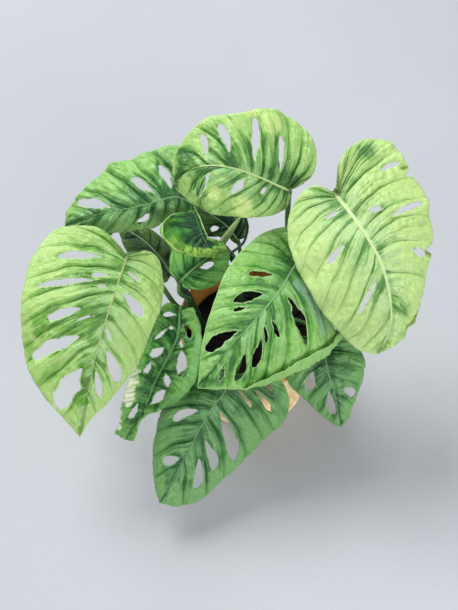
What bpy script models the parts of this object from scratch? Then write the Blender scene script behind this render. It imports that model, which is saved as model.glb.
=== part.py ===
"""Potted swiss cheese vine: a holed-leaf climber in a nursery pot with a crinkled paper cover.

Everything is given in millimetres in the tables below and scaled to metres when a mesh is made.
The origin is the centre of the cover's base, +Z is up, and the leaves lean towards -Y.
"""
import math
from dataclasses import dataclass

import bmesh
import bpy
from mathutils import Vector, noise
from mathutils.geometry import delaunay_2d_cdt

MM = 0.001
GAP = 0.35            # clearance between touching pieces

# Pot, cover and soil
RIM_RADIUS = 61.0
POT_HEIGHT = 102.0
POT_FOOT_RADIUS = 46.0
POT_SHOULDER_RADIUS = 57.4
POT_WALL = 1.3
LIP_HEIGHT = 9.5
DRAIN_RADIUS = 4.0
DRAIN_RING = 27.0
DRAIN_COUNT = 6
COVER_FOOT_RADIUS = 53.0
COVER_TOP_RADIUS = 59.6
COVER_TOP = 91.8
COVER_WALL = 1.1
COVER_CREASE_IN = 2.6    # depth of the paper's creases at the foot, where there is room for them
COVER_CREASE_OUT = 0.5   # how far they stand proud
SOIL_TOP = 80.0
SOIL_SHOULDER = 0.86     # where the soil starts to fall off to the pot's wall, as part of its radius
SOIL_LUMP = 2.2

# Stems and leaves
STEM_HOLE_DEPTH = 11.0
STEM_FOOT_RADIUS = 4.0
STEM_TIP_RADIUS = 3.1
BLADE_THICKNESS = 0.8
RIB_HALF_WIDTH = 1.9
RIB_UNDER = 1.3       # how far the midrib stands out under the blade
RIB_OVER = 0.5
PUCKER = 1.8          # height of the quilting between the side veins
MARGIN_CLEAR = 3.0    # quilting points stay this far from the margin
HOLE_CLEAR = 2.0      # and this far from a hole
PETIOLE_FOOT_RADIUS = 2.9
PETIOLE_RADIUS = 2.1
KNEE_RADIUS = 2.5     # the swelling just under the blade
KNEE_DROP = 3.5       # how far under the blade the knee starts
SMALL_LEAF = 90.0     # leaves shorter than this have fewer margin points and thinner petioles

TOWARDS_LIGHT = (0.03, -0.55, 0.83)


@dataclass
class Leaf:
    """A leaf: midrib points in mm, outlines and holes in parts of the midrib's length.

    right and left are the outline from the sinus round the lobe to the tip, as (along, out).
    A hole runs from one end to the other: (along, out, along, out, width), out < 0 on the left.
    """
    name: str
    stem: str
    foot: float           # where the petiole leaves its stem, from 0 at the soil to 1 at the tip
    petiole: list
    midrib: list
    right: list
    left: list
    holes: list
    lift: tuple = (0.0, 0.0)      # slope of each half at the midrib, degrees
    curl: tuple = ((-20.0, -20.0), (-20.0, -20.0))   # bend out to the margin, at base and tip
    face: tuple = TOWARDS_LIGHT
    veins: int = 8
    wave: tuple = (2.0, 3.0, 0.0)  # margin waves: height mm, count, phase
    colour: tuple = (0.16, 0.42, 0.05)


BRIGHT = (0.36, 0.62, 0.12)
FRESH = (0.22, 0.48, 0.08)
DEEP = (0.08, 0.27, 0.05)
SHADED = (0.07, 0.16, 0.05)

LEAVES = [
    Leaf("leaf_left_large", "stem_left", 0.36,
         [(-64, 2, 118), (-76, 7, 142), (-91, 11, 169)],
         [(-97, 1, 183), (-104, -37, 178), (-114, -68, 157), (-123, -94, 124), (-130, -112, 96)],
         [(-.02, .03), (-.07, .10), (-.10, .20), (-.04, .38), (.10, .44), (.24, .45), (.56, .37),
          (.75, .27), (.89, .12), (.96, .035), (1, 0)],
         [(-.02, .03), (-.06, .09), (-.04, .17), (.08, .24), (.22, .265), (.34, .255), (.55, .23),
          (.76, .125), (.89, .04), (.96, .015), (1, 0)],
         [(.04, .12, .10, .32, .045), (.13, .06, .16, .13, .022), (.18, .12, .29, .37, .030),
          (.33, .13, .42, .27, .042), (.46, .10, .63, .30, .065), (.61, .05, .86, .13, .095),
          (.08, -.03, .11, -.10, .022), (.20, -.04, .29, -.18, .048), (.50, -.05, .66, -.15, .062),
          (.62, -.02, .75, -.06, .030)],
         lift=(8, -25), curl=((-25, -25), (-15, -15)), wave=(2.5, 3, 0.5), colour=BRIGHT),
    Leaf("leaf_right_large", "stem_right", 0.80,
         [(34, 38, 158), (42, 47, 186), (52, 51, 205)],
         [(61, 43, 215), (78, 12, 216), (93, -11, 205), (102, -31, 186), (104, -44, 165),
          (97, -56, 148)],
         [(-.03, .03), (-.09, .07), (-.10, .14), (-.05, .23), (.06, .32), (.20, .38), (.38, .41),
          (.62, .38), (.86, .25), (.97, .12), (1, 0)],
         [(-.03, .03), (-.10, .05), (-.18, .09), (-.24, .18), (-.25, .30), (-.18, .41), (-.02, .44),
          (.17, .44), (.32, .39), (.45, .33), (.60, .23), (.78, .15), (.92, .08), (1, 0)],
         [(.10, .04, .12, .12, .024), (.31, .13, .38, .25, .032), (.55, .05, .72, .17, .024),
          (-.05, -.28, -.07, -.40, .036), (.18, -.07, .18, -.17, .024), (.25, -.18, .22, -.39, .034),
          (.45, -.18, .50, -.26, .040)],
         lift=(-5, -5), curl=((-20, -20), (-10, -60)), wave=(2.5, 4, 1.0), colour=BRIGHT),
    Leaf("leaf_top", "stem_right", 0.98,
         [(27, 42, 163), (26, 51, 178), (26, 58, 195)],
         [(25, 55, 205), (0, 53, 222), (-20, 55, 228), (-38, 58, 226), (-52, 60, 218),
          (-65, 58, 204)],
         [(-.03, .03), (-.10, .07), (-.16, .15), (-.17, .25), (-.15, .34), (-.07, .44), (.04, .50),
          (.21, .51), (.35, .47), (.46, .40), (.56, .37), (.66, .35), (.80, .26), (.95, .15), (1, 0)],
         [(-.03, .04), (-.03, .09), (.01, .16), (.13, .25), (.32, .33), (.50, .37), (.67, .36),
          (.86, .24), (.95, .11), (1, 0)],
         [(.67, .07, .71, .23, .045), (.51, .11, .59, .30, .058), (.33, .11, .37, .40, .066),
          (.10, .10, .14, .35, .044), (.64, -.05, .79, -.21, .072), (.37, -.05, .46, -.18, .056),
          (.19, -.05, .22, -.11, .024)],
         lift=(5, -10), curl=((-10, -10), (-30, -30)), wave=(2.5, 4, 2.0), colour=FRESH),
    Leaf("leaf_upper_left", "stem_left", 0.97,
         [(-58, 52, 160), (-52, 64, 172)],
         [(-51, 59, 180), (-63, 57, 190), (-76, 50, 193), (-91, 46, 190), (-125, 46, 178),
          (-156, 47, 160)],
         [(-.03, .05), (-.08, .12), (-.08, .25), (.0, .35), (.11, .38), (.29, .36), (.55, .34),
          (.69, .27), (.85, .18), (.97, .10), (1, 0)],
         [(-.03, .05), (-.05, .11), (.03, .18), (.25, .24), (.5, .24), (.7, .21), (.88, .13), (1, 0)],
         [(.29, .06, .43, .20, .055), (.17, .06, .21, .24, .060), (.61, .03, .88, .13, .068),
          (.35, -.07, .46, -.14, .050)],
         lift=(5, -40), curl=((-20, -20), (-60, -60)), face=(0, -.4, .9), wave=(2.5, 4, 0.0),
         colour=FRESH),
    Leaf("leaf_centre", "stem_right", 0.55,
         [(31, 14, 120), (37, 18, 142), (38, 22, 158)],
         [(35, 15, 167), (19, -20, 171), (4, -41, 168), (-17, -59, 150), (-39, -79, 124)],
         [(-.04, .04), (-.11, .09), (-.13, .16), (-.02, .25), (.17, .30), (.36, .30), (.53, .24),
          (.71, .16), (.86, .08), (1, 0)],
         [(-.03, .05), (-.08, .14), (-.08, .26), (.0, .40), (.14, .49), (.29, .48), (.42, .45),
          (.59, .38), (.78, .27), (.90, .14), (1, 0)],
         [(.20, .08, .30, .19, .046), (.34, .06, .48, .155, .052), (.46, .08, .52, .12, .022),
          (.59, .03, .79, .09, .068), (.25, -.06, .38, -.33, .068), (.42, -.07, .47, -.17, .022),
          (.47, -.055, .54, -.14, .022), (.54, -.10, .70, -.18, .042), (.66, -.09, .83, -.15, .050),
          (.79, -.035, .88, -.075, .026), (.12, -.29, .16, -.44, .044)],
         lift=(5, -10), curl=((-15, -15), (-20, -20)), wave=(1.5, 3, 1.5), colour=FRESH),
    Leaf("leaf_front_low", "stem_front", 0.92,
         [(-6, -42, 118), (-9, -57, 119)],
         [(-11, -64, 120), (-19, -80, 118), (-31, -93, 105), (-49, -117, 72), (-68, -143, 43)],
         [(-.03, .05), (-.06, .12), (.0, .21), (.12, .285), (.27, .33), (.41, .325), (.71, .235), (.91, .10),
          (1, 0)],
         [(-.03, .06), (-.10, .14), (-.13, .28), (-.05, .44), (.07, .51), (.31, .47), (.54, .40),
          (.71, .32), (.89, .25), (.98, .12), (1, 0)],
         [(.32, .07, .48, .19, .050), (.67, .03, .76, .11, .056), (.25, -.06, .56, -.33, .078),
          (.48, -.07, .66, -.23, .054), (.62, -.09, .82, -.18, .068), (.06, -.06, .13, -.21, .034),
          (.01, -.17, .09, -.36, .042), (-.05, -.22, -.04, -.29, .024)],
         lift=(-18, -20), wave=(1.5, 3, 0.0), colour=DEEP),
    Leaf("leaf_right_low", "stem_right", 0.20,
         [(34, 0, 104), (46, -13, 119), (56, -26, 125)],
         [(60, -33, 120), (63, -52, 113), (70, -62, 96), (79, -77, 62)],
         [(-.03, .05), (-.12, .15), (-.10, .33), (.08, .43), (.28, .42), (.50, .33), (.75, .20),
          (.92, .09), (1, 0)],
         [(-.03, .05), (-.10, .12), (-.08, .24), (.12, .38), (.30, .40), (.50, .32), (.70, .20),
          (.9, .10), (1, 0)],
         [(.25, .14, .43, .24, .095), (.51, .05, .82, .05, .085), (.50, -.10, .64, -.20, .090)],
         veins=6, wave=(1.5, 3, 0.0), colour=DEEP),
    Leaf("leaf_left_curled", "stem_left", 0.26,
         [(-52, 0, 112), (-57, -4, 122)],
         [(-58, -13, 130), (-58, -34, 127), (-65, -51, 119), (-74, -62, 104), (-84, -79, 83),
          (-102, -91, 47)],
         [(-.03, .04), (-.03, .09), (.04, .14), (.14, .18), (.30, .18), (.42, .155), (.50, .17),
          (.58, .17), (.69, .15), (.80, .11), (.90, .09), (.96, .085), (1, 0)],
         [(-.03, .04), (-.04, .09), (.03, .15), (.14, .20), (.27, .265), (.37, .27), (.48, .23),
          (.60, .13), (.69, .05), (.77, .035), (.86, .035), (.95, .055), (1, 0)],
         [(.03, .025, .05, .10, .028), (.14, .07, .23, .125, .024), (.26, .045, .34, .10, .052),
          (.37, .08, .46, .08, .040), (.08, -.035, .15, -.095, .040), (.23, -.06, .36, -.13, .070),
          (.40, -.035, .46, -.10, .052), (.63, -.03, .50, -.10, .052), (.67, .05, .80, .05, .036)],
         lift=(12, 22), curl=((30, 40), (30, 40)), veins=7, wave=(1.5, 4, 1.0), colour=DEEP),
    Leaf("leaf_small_cupped", "stem_left", 0.72,
         [(-58, 40, 172), (-53, 46, 183)],
         [(-48, 42, 188), (-43, 30, 186), (-37, 20, 178), (-29, 13, 165)],
         [(-.05, .08), (-.10, .30), (-.05, .50), (.05, .69), (.18, .85), (.32, .94), (.45, .85),
          (.57, .60), (.70, .36), (.80, .18), (.90, .06), (1, 0)],
         [(-.03, .05), (.10, .08), (.5, .08), (.62, .13), (.70, .26), (.78, .40), (.85, .42),
          (.92, .14), (1, 0)],
         [],
         lift=(20, 10), curl=((40, 40), (20, 20)), veins=5, wave=(1.5, 2, 0.0), colour=DEEP),
    Leaf("leaf_small_round", "stem_left", 0.48,
         [(-53, 3, 126), (-59, 1, 136)],
         [(-58, 7, 145), (-50, 12, 152), (-41, 19, 156), (-31, 26, 158), (-20, 34, 154)],
         [(-.03, .08), (-.02, .14), (.06, .23), (.17, .33), (.30, .40), (.44, .43), (.62, .39),
          (.78, .29), (.91, .15), (1, 0)],
         [(-.03, .08), (-.06, .16), (-.02, .27), (.12, .40), (.25, .46), (.40, .45), (.7, .30),
          (.9, .12), (1, 0)],
         [(.38, .05, .61, .13, .090)],
         lift=(10, 10), curl=((0, 0), (0, 0)), veins=5, wave=(1.0, 2, 0.0), colour=DEEP),
    Leaf("leaf_back_left", "stem_left", 0.56,
         [(-64, 22, 128)],
         [(-69, 25, 130), (-78, 36, 136), (-94, 51, 140), (-117, 67, 140)],
         [(-.04, .05), (-.03, .10), (.12, .17), (.35, .19), (.65, .17), (.88, .10), (1, 0)],
         [(-.04, .05), (-.05, .13), (.10, .26), (.35, .31), (.65, .26), (.88, .12), (1, 0)],
         [],
         veins=5, wave=(1.0, 2, 0.0), colour=SHADED),
    Leaf("leaf_back", "stem_back", 0.52,
         [(-11, 50, 120), (-12, 53, 130)],
         [(-14, 55, 140), (-24, 62, 150), (-40, 69, 158), (-56, 80, 160)],
         [(-.05, .08), (-.05, .20), (.15, .34), (.4, .36), (.7, .25), (.9, .1), (1, 0)],
         [(-.04, .05), (.05, .08), (.17, .10), (.26, .20), (.36, .28), (.48, .34), (.62, .34),
          (.80, .20), (.93, .08), (1, 0)],
         [(.36, -.09, .44, -.20, .095)],
         veins=5, wave=(1.0, 2, 0.0), colour=SHADED),
]

# Each stem's axis, from the bottom of its hole in the soil
STEMS = {
    "stem_left": [(-38, 2, 70), (-45, 5, 94), (-52, 10, 112), (-59, 16, 128), (-63, 27, 146),
                  (-61, 42, 160)],
    "stem_right": [(16, 4, 70), (20, 8, 98), (24, 16, 124), (28, 26, 152)],
    "stem_front": [(0, -14, 70), (-2, -22, 96), (-4, -31, 112)],
    "stem_back": [(-8, 24, 70), (-11, 34, 100), (-15, 42, 124), (-24, 41, 146)],
}
SPIKE = [(-23, 40, 143), (-26, 42, 151), (-20, 47, 161), (-11, 55, 173)]
AERIAL_ROOT = [(-20, 42, 137), (-9, 50, 143), (-6, 57, 151), (-6, 58, 158), (-9, 61, 166)]


# Small tools

def clear_scene():
    for obj in list(bpy.data.objects):
        bpy.data.objects.remove(obj, do_unlink=True)


def material(name, colour, roughness):
    mat = bpy.data.materials.new(name)
    mat.use_nodes = True
    shader = mat.node_tree.nodes["Principled BSDF"]
    shader.inputs["Base Color"].default_value = (*colour, 1.0)
    shader.inputs["Roughness"].default_value = roughness
    shader.inputs["Metallic"].default_value = 0.0
    mat.diffuse_color = (*colour, 1.0)
    return mat


def object_from(name, bm, mat):
    """Turn a bmesh in mm into an object in metres."""
    bmesh.ops.scale(bm, vec=(MM, MM, MM), verts=bm.verts)
    mesh = bpy.data.meshes.new(name)
    bm.to_mesh(mesh)
    bm.free()
    mesh.materials.append(mat)
    mesh.shade_smooth()
    mesh.set_sharp_from_angle(angle=math.radians(40))
    obj = bpy.data.objects.new(name, mesh)
    bpy.context.collection.objects.link(obj)
    return obj


def combine(target, tools, operation):
    """Apply one Boolean of target with each tool, and remove the tools."""
    for tool in tools:
        step = target.modifiers.new(operation.lower(), "BOOLEAN")
        step.operation = operation
        step.solver = "EXACT"
        step.object = tool
        bpy.context.view_layer.update()
        graph = bpy.context.evaluated_depsgraph_get()
        result = bpy.data.meshes.new_from_object(target.evaluated_get(graph))
        target.modifiers.clear()
        target.data = result
        bpy.data.objects.remove(tool, do_unlink=True)
    target.data.name = target.name


def weld(obj, distance):
    """Merge places closer than distance, in mm, and slivers, that a Boolean leaves."""
    bm = bmesh.new()
    bm.from_mesh(obj.data)
    bmesh.ops.remove_doubles(bm, verts=bm.verts, dist=distance * MM)
    bmesh.ops.dissolve_degenerate(bm, edges=bm.edges, dist=distance * MM)
    bm.to_mesh(obj.data)
    bm.free()


def spline(points, count):
    """A smooth curve through the points, as count places evenly spaced along it, and its length."""
    pts = [Vector(p) for p in points]
    ends = [2 * pts[0] - pts[1]] + pts + [2 * pts[-1] - pts[-2]]
    fine = []
    steps = 16
    for a, b, c, d in zip(ends, ends[1:], ends[2:], ends[3:]):
        for k in range(steps):
            t = k / steps
            fine.append(0.5 * (2 * b + (c - a) * t + (2 * a - 5 * b + 4 * c - d) * t ** 2
                               + (3 * b - a - 3 * c + d) * t ** 3))
    fine.append(pts[-1])
    run = [0.0]
    for a, b in zip(fine, fine[1:]):
        run.append(run[-1] + (b - a).length)
    places = []
    i = 0
    for k in range(count):
        want = run[-1] * k / (count - 1)
        while i < len(fine) - 2 and run[i + 1] < want:
            i += 1
        places.append(fine[i].lerp(fine[i + 1], (want - run[i]) / (run[i + 1] - run[i])))
    return places, run[-1]


def tube(name, places, radii, mat, sides_level=1):
    """A round rod along places, with a radius for each, as a mesh object."""
    curve = bpy.data.curves.new(name, "CURVE")
    curve.dimensions = "3D"
    curve.bevel_depth = MM
    curve.bevel_resolution = sides_level
    curve.use_fill_caps = True
    line = curve.splines.new("POLY")
    line.points.add(len(places) - 1)
    for point, place, radius in zip(line.points, places, radii):
        point.co = (*(place * MM), 1.0)
        point.radius = radius
    rod = bpy.data.objects.new(name, curve)
    bpy.context.collection.objects.link(rod)
    bpy.context.view_layer.update()
    graph = bpy.context.evaluated_depsgraph_get()
    mesh = bpy.data.meshes.new_from_object(rod.evaluated_get(graph))
    bpy.data.objects.remove(rod, do_unlink=True)
    bm = bmesh.new()
    bm.from_mesh(mesh)
    bmesh.ops.remove_doubles(bm, verts=bm.verts, dist=0.00001)
    bmesh.ops.recalc_face_normals(bm, faces=bm.faces)
    bm.to_mesh(mesh)
    bm.free()
    mesh.materials.clear()
    mesh.materials.append(mat)
    mesh.shade_smooth()
    mesh.set_sharp_from_angle(angle=math.radians(50))
    obj = bpy.data.objects.new(name, mesh)
    bpy.context.collection.objects.link(obj)
    return obj


def turned(profile, segments):
    """Spin a closed profile of (radius, height) points about Z into one closed shell."""
    bm = bmesh.new()
    verts = [bm.verts.new((r, 0, z)) for r, z in profile]
    edges = [bm.edges.new(pair) for pair in zip(verts, verts[1:])]
    bmesh.ops.spin(bm, geom=verts + edges, cent=(0, 0, 0), axis=(0, 0, 1), angle=math.tau,
                   steps=segments, use_merge=True)
    bmesh.ops.remove_doubles(bm, verts=bm.verts, dist=0.01)
    bmesh.ops.recalc_face_normals(bm, faces=bm.faces)
    return bm


def cylinder(name, radius, low, high, centre, mat, sides=10, axis=Vector((0, 0, 1))):
    """A plain cutter from low to high along axis through centre."""
    bm = bmesh.new()
    bmesh.ops.create_cone(bm, cap_ends=True, segments=sides, radius1=radius, radius2=radius,
                          depth=high - low)
    bmesh.ops.translate(bm, vec=(0, 0, (high + low) / 2), verts=bm.verts)
    bmesh.ops.rotate(bm, cent=(0, 0, 0), matrix=Vector((0, 0, 1)).rotation_difference(axis)
                     .to_matrix(), verts=bm.verts)
    bmesh.ops.translate(bm, vec=centre, verts=bm.verts)
    return object_from(name, bm, mat)


# Pot, cover and soil

def make_pot():
    mat = material("pot_terracotta", (0.50, 0.24, 0.07), 0.45)
    lip_foot = POT_HEIGHT - LIP_HEIGHT
    floor = COVER_WALL + GAP
    profile = [
        (0, floor), (POT_FOOT_RADIUS, floor), (POT_SHOULDER_RADIUS, lip_foot),
        (RIM_RADIUS, lip_foot), (RIM_RADIUS, POT_HEIGHT - 0.7), (RIM_RADIUS - 0.5, POT_HEIGHT),
        (RIM_RADIUS - POT_WALL + 0.2, POT_HEIGHT), (RIM_RADIUS - POT_WALL - 0.2, POT_HEIGHT - 1),
        (POT_SHOULDER_RADIUS - POT_WALL + 0.6, lip_foot + 1.5),
        (POT_FOOT_RADIUS - POT_WALL, floor + POT_WALL), (0, floor + POT_WALL),
    ]
    pot = object_from("pot", turned(profile, 40), mat)
    drains = []
    for k in range(DRAIN_COUNT):
        turn = math.tau * k / DRAIN_COUNT
        place = (DRAIN_RING * math.cos(turn), DRAIN_RING * math.sin(turn), 0)
        drains.append(cylinder("drain", DRAIN_RADIUS, -2, 10, place, mat))
    combine(pot, drains, "DIFFERENCE")


def make_cover():
    """A paper cover that flares to the lip, with creases running round and up it."""
    mat = material("kraft_paper", (0.78, 0.60, 0.40), 0.8)
    rows = 8
    outer = []
    inner = []
    for k in range(rows + 1):
        part = k / rows
        radius = COVER_FOOT_RADIUS + (COVER_TOP_RADIUS - COVER_FOOT_RADIUS) * part
        outer.append((radius, COVER_TOP * part))
        inner.append((radius - COVER_WALL, max(COVER_WALL, COVER_TOP * part)))
    profile = [(0, 0)] + outer + inner[::-1] + [(0, COVER_WALL)]
    bm = turned(profile, 48)
    for vert in bm.verts:
        radius = vert.co.xy.length
        if radius < COVER_FOOT_RADIUS - 2 * COVER_WALL:
            continue
        height = vert.co.z / COVER_TOP
        room_in = COVER_CREASE_IN * min(1.0, 8 * height) * (1 - height) + 0.25 * height
        turn = math.atan2(vert.co.y, vert.co.x)
        spot = Vector((6 * math.cos(turn), 6 * math.sin(turn), 5 * height))
        crease = noise.noise(spot)
        push = crease * (room_in if crease < 0 else COVER_CREASE_OUT * min(1.0, 8 * height))
        vert.co.xy *= (radius + push) / radius
    object_from("paper_cover", bm, mat)


def make_soil():
    """Potting mix that fills the pot, lumpy on top, with a plain hole for each stem."""
    mat = material("potting_mix", (0.035, 0.022, 0.018), 0.95)
    floor = COVER_WALL + 2 * GAP + POT_WALL
    slope = (POT_SHOULDER_RADIUS - POT_FOOT_RADIUS) / (POT_HEIGHT - LIP_HEIGHT - floor)
    foot = POT_FOOT_RADIUS - POT_WALL - GAP - 0.4
    top = foot + slope * (SOIL_TOP - floor)
    profile = [(0, floor), (foot, floor), (top, SOIL_TOP - 1)]
    rings = 5
    for k in range(rings + 1):
        profile.append((top * SOIL_SHOULDER * (1 - k / rings), SOIL_TOP))
    bm = turned(profile, 32)
    for vert in bm.verts:
        if vert.co.z > SOIL_TOP - 0.5:
            vert.co.z += SOIL_LUMP * noise.noise(vert.co * 0.09)
    soil = object_from("soil", bm, mat)
    bores = []
    for name, line in STEMS.items():
        places, _ = spline(line, 12)
        lean = (places[1] - places[0]).normalized()
        bores.append(cylinder("bore", STEM_FOOT_RADIUS + GAP + 0.3, -GAP, 30, places[0], mat,
                              sides=12, axis=lean))
    combine(soil, bores, "DIFFERENCE")


# Stems

def stem_places(name):
    places, length = spline(STEMS[name], 9)
    return places, length


def stem_radius(part):
    return STEM_FOOT_RADIUS + (STEM_TIP_RADIUS - STEM_FOOT_RADIUS) * part


def make_stems():
    mat = material("stem_green", (0.045, 0.16, 0.045), 0.45)
    for name in STEMS:
        places, _ = stem_places(name)
        radii = [stem_radius(k / (len(places) - 1)) for k in range(len(places))]
        stem = tube(name, places, radii, mat, sides_level=2)
        if name == "stem_back":
            spike_line, _ = spline(SPIKE, 6)
            spike = tube("spike", spike_line, [2.2, 3.0, 2.7, 2.0, 1.3, 0.5], mat)
            root_line, _ = spline(AERIAL_ROOT, 10)
            root = tube("root", root_line, [1.2] * 10, mat, sides_level=0)
            combine(stem, [spike, root], "UNION")


# Leaf blades

class Blade:
    """The surface of one leaf: flat places (along, out) in mm become places in space."""
    samples = 60

    def __init__(self, leaf):
        self.leaf = leaf
        self.path, self.length = spline(leaf.midrib, self.samples + 1)
        chord = (self.path[-1] - self.path[0]).normalized()
        self.along = []
        self.up = []
        self.side = []
        for k in range(self.samples + 1):
            before = self.path[max(k - 1, 0)]
            after = self.path[min(k + 1, self.samples)]
            run = (0.4 * (after - before).normalized() + 0.6 * chord).normalized()
            face = Vector(leaf.face)
            up = (face - face.dot(run) * run).normalized()
            self.along.append(run)
            self.up.append(up)
            self.side.append(run.cross(up))
        self.margins = []
        for outline in (leaf.right, leaf.left):
            scaled = [Vector((a * self.length, b * self.length, 0)) for a, b in outline]
            self.margins.append(spline(scaled, 81)[0])
        self.widths = [max(p.y for p in margin) for margin in self.margins]

    def margin(self, half, part):
        """Flat place on a margin, part 0 at the sinus and 1 at the tip."""
        k = min(int(part * 80), 79)
        return self.margins[half][k].lerp(self.margins[half][k + 1], part * 80 - k)

    def vein(self, half, part, out):
        """Flat place on the side vein that meets the margin at part; out runs 0 to 1."""
        root = Vector((part ** 1.5 * self.length, 0, 0))
        end = self.margin(half, part)
        bend = (root + end) / 2 - Vector((0.05 * self.length, 0, 0))
        spot = (1 - out) ** 2 * root + 2 * (1 - out) * out * bend + out ** 2 * end
        return spot.x, -spot.y if half else spot.y

    def point(self, along, out, raised=0.0):
        """The place in space of a flat place, raised off the surface by so many mm."""
        part = min(max(along / self.length, 0.0), 1.0)
        k = min(int(part * self.samples), self.samples - 1)
        mix = part * self.samples - k
        centre = self.path[k].lerp(self.path[k + 1], mix)
        run = self.along[k].lerp(self.along[k + 1], mix)
        up = self.up[k].lerp(self.up[k + 1], mix)
        side = self.side[k].lerp(self.side[k + 1], mix)
        half = 0 if out >= 0 else 1
        width = self.widths[half]
        reach = abs(out) / width
        start = math.radians(self.leaf.lift[half])
        base, tip = self.leaf.curl[half]
        bend = math.radians(base + (tip - base) * part)
        if abs(bend) < 0.001:
            bend = 0.001
        across = width / bend * (math.sin(start + bend * reach) - math.sin(start))
        height = width / bend * (math.cos(start) - math.cos(start + bend * reach))
        size, count, phase = self.leaf.wave
        height += size * reach ** 2 * math.sin(math.tau * count * part + phase + 1.7 * half)
        beyond = along - part * self.length
        across = across if half == 0 else -across
        return centre + run * beyond + side * across + up * (height + raised)


def inside(spot, loop):
    """True when a flat place lies inside a closed loop."""
    hit = False
    for a, b in zip(loop, loop[1:] + loop[:1]):
        if (a[1] > spot[1]) != (b[1] > spot[1]):
            if spot[0] < a[0] + (b[0] - a[0]) * (spot[1] - a[1]) / (b[1] - a[1]):
                hit = not hit
    return hit


def near(spot, loop, distance):
    """True when a flat place lies closer than distance to a loop's edges."""
    for a, b in zip(loop, loop[1:] + loop[:1]):
        run = (b[0] - a[0], b[1] - a[1])
        length = run[0] ** 2 + run[1] ** 2
        t = ((spot[0] - a[0]) * run[0] + (spot[1] - a[1]) * run[1]) / length if length else 0
        t = min(max(t, 0), 1)
        if math.hypot(spot[0] - a[0] - t * run[0], spot[1] - a[1] - t * run[1]) < distance:
            return True
    return False


def outline_loop(blade, count):
    """The whole margin in the flat, from the midrib's foot round the right half and back."""
    right = [blade.margin(0, k / count) for k in range(count)]
    left = [blade.margin(1, k / count) for k in range(count)]
    loop = [(0.0, 0.0)]
    loop += [(p.x, p.y) for p in right]
    loop.append((blade.length, 0.0))
    loop += [(p.x, -p.y) for p in reversed(left)]
    return loop


def hole_loop(blade, hole, count):
    """A long rounded hole between two side veins, in the flat."""
    a0, b0, a1, b1, width = [value * blade.length for value in hole]
    centre = Vector(((a0 + a1) / 2, (b0 + b1) / 2))
    axis = Vector(((a1 - a0) / 2, (b1 - b0) / 2))
    across = Vector((-axis.y, axis.x)).normalized() * width / 2
    loop = []
    for k in range(count):
        turn = math.tau * k / count
        spot = centre + axis * math.cos(turn) + across * math.sin(turn)
        loop.append((spot.x, spot.y))
    return loop


def blade_sheet(blade, margin_points, hole_points):
    """Triangles of the upper face: flat places, raised heights, thicknesses and faces."""
    leaf = blade.leaf
    loop = outline_loop(blade, margin_points)
    holes = [hole_loop(blade, hole, hole_points) for hole in leaf.holes]
    spots = []
    raised = []
    edges = []

    def add_loop(points):
        first = len(spots)
        spots.extend(points)
        raised.extend([0.0] * len(points))
        edges.extend((first + k, first + (k + 1) % len(points)) for k in range(len(points)))

    add_loop(loop)
    for hole in holes:
        add_loop(hole)

    rib = set()
    rib_steps = leaf.veins + 1
    for row in (-1, 0, 1):
        for k in range(1, rib_steps):
            part = k / rib_steps
            spots.append((part * blade.length, row * RIB_HALF_WIDTH * (1 - 0.7 * part)))
            raised.append(RIB_OVER * (1 - part) if row == 0 else 0.0)
            if row == 0:
                rib.add(len(spots) - 1)
            if k > 1:
                edges.append((len(spots) - 2, len(spots) - 1))

    rows = 2 * leaf.veins
    for half in (0, 1):
        for k in range(1, rows):
            for out in (0.28, 0.52, 0.76):
                spot = blade.vein(half, k / rows, out)
                if abs(spot[1]) < 2.2 * RIB_HALF_WIDTH or near(spot, loop, MARGIN_CLEAR):
                    continue
                if any(inside(spot, hole) or near(spot, hole, HOLE_CLEAR) for hole in holes):
                    continue
                spots.append(spot)
                raised.append(PUCKER * math.sin(math.pi * out) if k % 2 else -0.2)

    flat = [Vector(spot) for spot in spots]
    verts, _, faces, origin, _, _ = delaunay_2d_cdt(flat, edges, [], 0, 1e-6)
    heights = [raised[ids[0]] if ids else 0.0 for ids in origin]
    depths = [BLADE_THICKNESS] * len(verts)
    for i, ids in enumerate(origin):
        if rib.intersection(ids):
            depths[i] += RIB_UNDER * (1 - verts[i].x / blade.length)
    kept = []
    for face in faces:
        centre = sum((verts[i] for i in face), Vector((0, 0))) / len(face)
        if inside(centre, loop) and not any(inside(centre, hole) for hole in holes):
            kept.append(face)
    return verts, heights, depths, kept


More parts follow.
